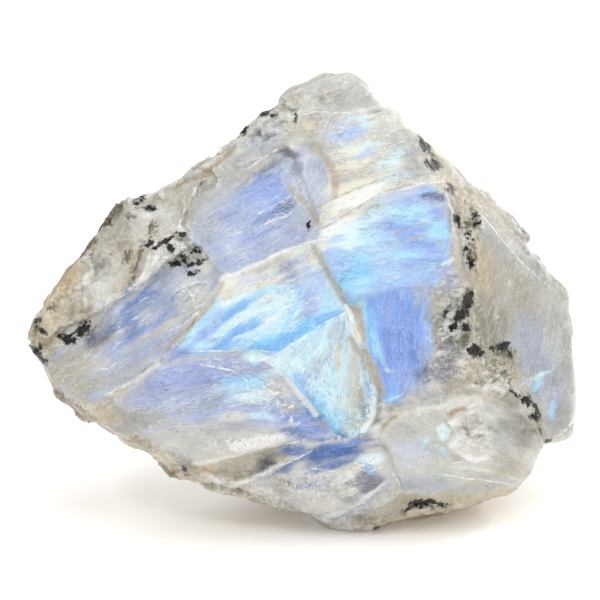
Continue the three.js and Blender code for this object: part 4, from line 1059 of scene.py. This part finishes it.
class Graph:
    """A material's nodes, made and linked by name."""

    def __init__(self, name):
        self.material = bpy.data.materials.new(name)
        self.material.use_nodes = True
        self.tree = self.material.node_tree
        self.shader = self.tree.nodes["Principled BSDF"]

    def node(self, kind, inputs=None, **settings):
        made = self.tree.nodes.new(kind)
        for name, value in settings.items():
            setattr(made, name, value)
        for socket, value in (inputs or {}).items():
            self.feed(made.inputs[socket], value)
        return made

    def feed(self, socket, value):
        if isinstance(value, bpy.types.NodeSocket):
            self.tree.links.new(value, socket)
        else:
            socket.default_value = value

    def set_shader(self, values):
        """Gives the shader's inputs, by name, their constants or other nodes' outputs."""
        for name, value in values.items():
            self.feed(self.shader.inputs[name], value)

    def attribute(self, name, output="Vector"):
        return self.node("ShaderNodeAttribute", attribute_name=name).outputs[output]

    def split(self, vector):
        return self.node("ShaderNodeSeparateXYZ", {0: vector}).outputs

    def math(self, operation, a, b=0.0):
        return self.node("ShaderNodeMath", {0: a, 1: b}, operation=operation).outputs[0]

    def plus(self, a, b):
        return self.math("ADD", a, b)

    def times(self, a, b):
        return self.math("MULTIPLY", a, b)

    def vectors(self, operation, *vectors):
        made = self.node("ShaderNodeVectorMath", dict(enumerate(vectors)), operation=operation)
        return made.outputs["Value" if operation == "DOT_PRODUCT" else "Vector"]

    def ranged(self, value, low, high, to_low=0.0, to_high=1.0):
        """A soft step from to_low, where the value is low, to to_high, where it is high."""
        inputs = {"Value": value, "From Min": low, "From Max": high}
        inputs.update({"To Min": to_low, "To Max": to_high})
        return self.node("ShaderNodeMapRange", inputs, interpolation_type="SMOOTHSTEP").outputs[0]

    def mixed(self, share, a, b):
        """A colour that goes from a to b. Each is a palette name or another node's output."""
        made = self.node("ShaderNodeMix", {"Factor": share}, data_type="RGBA")
        for socket, colour in ((6, a), (7, b)):
            known = (*linear(colour), 1) if isinstance(colour, str) else colour
            self.feed(made.inputs[socket], known)
        return made.outputs[2]

    def noise(self, place, scale, detail=3.0, stretch=(1, 1, 1), output=0):
        mapping = self.node("ShaderNodeMapping", {"Vector": place, "Scale": stretch})
        inputs = {"Vector": mapping.outputs[0], "Scale": scale, "Detail": detail}
        return self.node("ShaderNodeTexNoise", inputs).outputs[output]

    def cells(self, place, scale, **settings):
        """Scattered cells, this many to a metre."""
        return self.node("ShaderNodeTexVoronoi", {"Vector": place, "Scale": scale}, **settings).outputs

    def facets(self, place, scale):
        """Flat crystal faces: each one's random value, and a height that leans it its own way."""
        cells = self.cells(place, scale)
        offset = self.vectors("SUBTRACT", place, cells["Position"])
        lean = self.vectors("SUBTRACT", cells["Color"], (0.5, 0.5, 0.5))
        return self.split(cells["Color"])[0], self.vectors("DOT_PRODUCT", offset, lean)

    def cell_edges(self, place, scale, half_width):
        """1 on the straight edges between cells. They reach half_width of a cell to each side."""
        edges = self.cells(place, scale, feature="DISTANCE_TO_EDGE")["Distance"]
        return self.ranged(edges, half_width, half_width * 0.3)

    def contour(self, value, half_width):
        """1 where a noise passes its middle value, which draws thin wandering lines."""
        off = self.math("ABSOLUTE", self.math("SUBTRACT", value, 0.5))
        return self.ranged(off, half_width, half_width * 0.3)

    def crack(self, name):
        """1 on the lines of a painted field and 0 off them, and the field's third value."""
        signed, near, extra = self.split(self.attribute(name))
        on_line = self.ranged(self.math("ABSOLUTE", signed), 1.5, 0.6)
        return self.times(on_line, self.ranged(near, 3.5, 2.5)), extra


class Moonstone(Graph):
    """The moonstone's material. Each lay_ method lays one part of its look over the colour."""

    def __init__(self):
        super().__init__("moonstone")
        self.deep, self.middle, self.light = (self.attribute(tone, "Color") for tone in TONES)
        self.black, self.brown, self.clear = self.split(self.attribute("marks"))
        self.light_line, self.frost = self.crack("light_cracks")
        self.dark_line, self.rough = self.crack("dark_cracks")
        self.pale = self.mixed(self.ranged(self.frost, 0.0, 0.8, 0.15, 1.0), self.light, "white")
        self.dull = self.mixed(self.ranged(self.frost, 0.0, 0.8, 0.3, 0.7), self.deep, "shade")
        rocky = self.ranged(self.clear, 0.0, 1.0, 1.0, 0.0)
        self.stony = self.times(rocky, self.ranged(self.rough, 0.1, 0.6))
        self.broken = self.ranged(self.rough, 0.0, 0.8, 0.06, 1.0)
        self.place = self.node("ShaderNodeTexCoord").outputs["Object"]
        self.clouds = self.noise(self.place, 240.0, 2.0)
        self.fibre = self.attribute("fibre")
        self.flames = self.drawn_out(0.03, 0.11, 1)
        self.fibres = self.drawn_out(0.18, 0.5, 1.3)
        self.grain = self.drawn_out(0.6, 0.7, 3.7)
        self.colour = self.middle

    def drawn_out(self, along, across, apart, detail=3.0):
        """Noise with this many waves to a pixel along and across the cleavage."""
        return self.noise(self.fibre, 1.0, detail, (along, across, apart))

    def cover(self, tone, share):
        self.colour = self.mixed(share, self.colour, tone)

    def lay(self, tone, value, start, end, share=1.0, where=1.0):
        """Mixes a tone in: nothing where the value is at start, and up to the share at end."""
        self.cover(tone, self.times(self.ranged(value, start, end, 0.0, share), where))

    def lay_both(self, value, reach, share, where=1.0):
        """The light tone where a noise is above its middle, and the deep tone below."""
        self.lay(self.light, value, 0.5, 0.5 + reach, share, where)
        self.lay(self.deep, value, 0.5, 0.5 - reach, share, where)

    def lay_flash(self):
        """The painted tones in flames, fibres and fine grain along the cleavage. Their blues are the flash,
        a sheen painted in as fixed colour.
        """
        wash = self.plus(self.times(self.flames, 0.6), self.times(self.clouds, 0.4))
        self.lay_both(wash, 0.14, 0.6)
        patchy = self.ranged(self.drawn_out(0.04, 0.06, 2.9, 2.0), 0.4, 0.6, 0.15, 0.8)
        self.lay_both(self.fibres, 0.16, 1.0, self.times(patchy, self.clear))
        self.lay_both(self.grain, 0.2, 0.65)

    def lay_sugar(self):
        """The fine sugary grain of broken rock."""
        sugar = self.noise(self.place, 3600.0, 3.0)
        self.lay(self.pale, sugar, 0.54, 0.7, 0.6, self.stony)
        self.lay(self.dull, sugar, 0.46, 0.3, 0.5, self.stony)

    def lay_facets(self):
        """Small crystal faces, light and dark as painted light and shade, with pale edges. Gives the height
        of their lean.
        """
        wander = self.noise(self.place, 400.0, 2.0, output="Color")
        bent = self.vectors("MULTIPLY_ADD", wander, (FACET_BEND,) * 3, self.place)
        value = leaning = 0.0
        for place, scale, share in ((bent, 300.0, 0.4), (bent, 900.0, 0.4), (self.place, 2400.0, 0.2)):
            facet, height = self.facets(place, scale)
            value = self.plus(value, self.times(facet, share))
            leaning = self.plus(leaning, height)
        # painted light and shade: paler faces as if lit, duller ones as if shaded
        self.lay(self.pale, value, 0.5, 0.85, 0.8, self.broken)
        self.lay(self.dull, value, 0.5, 0.15, 0.6, self.broken)
        edges = [self.cell_edges(bent, 300.0, 0.02), self.cell_edges(bent, 900.0, 0.045)]
        edges = self.times(self.math("MAXIMUM", *edges), self.ranged(self.clouds, 0.42, 0.6, 0.0, 0.8))
        self.cover(self.pale, self.times(edges, self.broken))
        return self.times(leaning, self.times(self.broken, 0.9))

    def lay_hairs(self):
        """Hairline cracks: pale and dark ones along the cleavage, and pale veins in the rock."""
        pale_hairs = self.contour(self.drawn_out(0.018, 0.16, 1.7, 2.0), 0.012)
        pale_hairs = self.times(pale_hairs, self.ranged(self.clouds, 0.44, 0.6, 0.0, 0.45))
        self.cover("white", self.times(pale_hairs, self.ranged(self.clear, 0.0, 1.0, 0.3, 1.0)))
        dark_hairs = self.contour(self.drawn_out(0.02, 0.14, 2.3, 2.0), 0.012)
        dark_hairs = self.times(dark_hairs, self.ranged(self.clouds, 0.56, 0.42, 0.0, 0.45))
        self.cover("slate", self.times(dark_hairs, self.clear))
        veins = self.contour(self.noise(self.place, 360.0, 5.0), 0.009)
        self.cover("white", self.times(veins, self.times(self.stony, 0.45)))

    def lay_cracks(self):
        """The painted cracks, broken here and there. Dark ones are warm except in frosted stone."""
        breaks = self.ranged(self.noise(self.place, 1500.0, 2.0), 0.42, 0.58, 0.15, 0.9)
        soft_line = self.times(self.dark_line, self.ranged(breaks, 0.15, 0.9, 0.2, 0.7))
        self.cover(self.mixed(self.ranged(self.frost, 0.2, 0.6), "warm grey", "slate"), soft_line)
        self.cover("white", self.times(self.light_line, breaks))

    def lay_frost(self):
        """White flecks and small pits, heaped in streaks."""
        fleck, pit, _ = self.split(self.cells(self.place, 4200.0)["Color"])
        heaps = self.ranged(self.drawn_out(0.08, 0.2, 3.1), 0.42, 0.58)
        heaped = self.times(self.frost, heaps)
        self.lay("white", fleck, 0.55, 0.8, 1.0, heaped)
        self.lay("slate", pit, 0.86, 0.94, 0.5, heaped)

    def lay_grains(self):
        """The brown and black grains, with ragged edges. Gives how black each place is."""
        pick, second, _ = self.split(self.cells(self.place, 2900.0)["Color"])
        mottle = self.noise(self.place, 2200.0, 3.0)
        brown_depth = self.plus(self.brown, self.ranged(mottle, 0.3, 0.7, -3.0, 3.0))
        self.lay("olive", brown_depth, -2.5, 5.0, 0.85)
        ragged = self.plus(
            self.ranged(pick, 0.0, 1.0, -1.5, 1.3), self.ranged(mottle, 0.3, 0.7, -1.2, 1.2)
        )
        edge = self.plus(self.black, ragged)
        self.lay("shade", edge, -3.2, 0.6, 0.55)
        self.lay("dark slate", edge, -1.6, 0.4, 0.5)
        dark = self.mixed(self.ranged(second, 0.6, 1.0, 0.0, 0.4), "black", "olive")
        black_share = self.ranged(edge, -0.2, 0.5, 0.0, MOST_BLACK)
        self.cover(dark, black_share)
        return black_share

    def bump(self, leaning):
        """The surface's finest relief: leaning facets, small cleavage steps and fibres."""
        across = self.split(self.fibre)[1]
        climb = self.plus(self.times(across, 0.07), self.times(self.flames, 2.4))
        steps = self.times(self.math("FRACT", climb), self.times(self.clear, STEP_HEIGHT))
        threads = self.plus(self.fibres, self.grain)
        fine = self.plus(steps, self.times(threads, self.times(self.clear, THREAD_HEIGHT)))
        inputs = {"Height": self.plus(leaning, fine), "Strength": 1.0, "Distance": 1.0}
        return self.node("ShaderNodeBump", inputs).outputs[0]

    def finish(self, leaning, black_share):
        """Feeds the shader with the colour and with how the surface takes the light."""
        roughness = self.plus(
            self.ranged(self.rough, 0.0, 1.0, 0.38, 0.32), self.ranged(self.grain, 0.3, 0.7, -0.08, 0.08)
        )
        self.set_shader(STONE_SHADER)
        self.set_shader({
            "Base Color": self.colour,
            "Roughness": roughness,
            "Subsurface Weight": self.ranged(black_share, 0.0, MOST_BLACK, 0.25, 0.0),
            "Coat Weight": self.ranged(black_share, 0.0, MOST_BLACK, 0.12, 0.0),
            "Normal": self.bump(leaning),
        })


def moonstone_material():
    """Milky feldspar: streaks and fibres of its flash, fine cracks, frost and black grains."""
    stone = Moonstone()
    stone.lay_flash()
    stone.lay_sugar()
    leaning = stone.lay_facets()
    stone.lay_hairs()
    stone.lay_cracks()
    stone.lay_frost()
    black_share = stone.lay_grains()
    stone.finish(leaning, black_share)
    return stone.material


def floor_material():
    """A pale matt table, with a faint warm glow that keeps its shadow light."""
    graph = Graph("table")
    graph.set_shader(FLOOR_SHADER)
    return graph.material


# ---------------------------------------------------------------- the scene


def give_values(mesh, values):
    """Keeps values at the mesh's points: the tones as colours and the rest as vectors."""
    for name, value in values.items():
        kind, field = "FLOAT_VECTOR", "vector"
        if name in TONES:
            kind, field = "FLOAT_COLOR", "color"
            value = np.column_stack([value, np.ones(len(value))])
        mesh.attributes.new(name, kind, "POINT").data.foreach_set(field, value.ravel())


def add_stone(frame):
    """The fine painted stone, in place of the CAD node."""
    points, faces = fine_surface(frame["nodes"]["moonstone"].data)
    points, values = painted(points, faces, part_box("moonstone"))
    mesh = bpy.data.meshes.new("moonstone_surface")
    mesh.from_pydata(points.tolist(), [], faces.tolist())
    give_values(mesh, values)
    mesh.shade_smooth()
    mesh.set_sharp_from_angle(angle=SHARP_ANGLE)
    mesh.materials.append(moonstone_material())
    stone = bpy.data.objects.new("moonstone_surface", mesh)
    bpy.context.collection.objects.link(stone)
    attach(stone, "root")
    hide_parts("moonstone")


def add_floor():
    bpy.ops.mesh.primitive_plane_add(size=FLOOR_SIZE)
    floor = bpy.context.object
    floor.name = "table"
    floor.data.materials.append(floor_material())


def add_lamp(name, place, size, power, colour):
    """A round studio lamp that points at the stone."""
    light = bpy.data.lights.new(name, "AREA")
    light.shape = "DISK"
    light.size = size
    light.energy = power
    light.color = colour
    lamp = bpy.data.objects.new(name, light)
    lamp.location = place
    lamp.rotation_euler = (Vector(LIT_POINT) - Vector(place)).to_track_quat("-Z", "Y").to_euler()
    bpy.context.collection.objects.link(lamp)


def add_lights():
    world = bpy.data.worlds.new("studio")
    world.use_nodes = True
    background = world.node_tree.nodes["Background"]
    background.inputs["Color"].default_value = (*STUDIO_TONE, 1)
    background.inputs["Strength"].default_value = STUDIO_STRENGTH
    bpy.context.scene.world = world
    for lamp in LAMPS:
        add_lamp(*lamp)
    bpy.data.objects["backdrop"].visible_glossy = False


def add_camera(box):
    """The camera, so that one photograph pixel is PIXEL metres at the stone."""
    right = box[0][0] + (MIDDLE_PX - LEFT_PX) * PIXEL
    up = Vector(VIEW_UP)
    mesh = bpy.data.objects["moonstone"].data
    highest = max(vertex.co @ up for vertex in mesh.vertices)
    height = highest - (MIDDLE_PX - TOP_PX) * PIXEL
    camera = bpy.data.cameras.new("camera")
    camera.sensor_width = SENSOR_MM
    camera.lens = SENSOR_MM * CAMERA_DISTANCE / (PHOTO_PX * PIXEL)
    camera.clip_end = CLIP_END
    holder = bpy.data.objects.new("camera", camera)
    holder.location = Vector((right, 0, 0)) + height * up + CAMERA_DISTANCE * Vector(TOWARDS_CAMERA)
    holder.rotation_euler = (math.pi / 2 - ELEVATION, 0, 0)
    bpy.context.collection.objects.link(holder)
    bpy.context.scene.camera = holder


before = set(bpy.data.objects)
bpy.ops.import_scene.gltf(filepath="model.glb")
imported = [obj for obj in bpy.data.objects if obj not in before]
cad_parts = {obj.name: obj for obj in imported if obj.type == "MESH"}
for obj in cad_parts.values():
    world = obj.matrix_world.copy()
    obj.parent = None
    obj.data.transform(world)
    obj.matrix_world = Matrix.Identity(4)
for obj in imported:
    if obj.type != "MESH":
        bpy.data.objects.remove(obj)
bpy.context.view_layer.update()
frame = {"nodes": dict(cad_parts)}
bpy.context.scene.view_settings.view_transform = "Standard"
add_camera(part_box("moonstone"))
add_stone(frame)
add_floor()
add_lights()
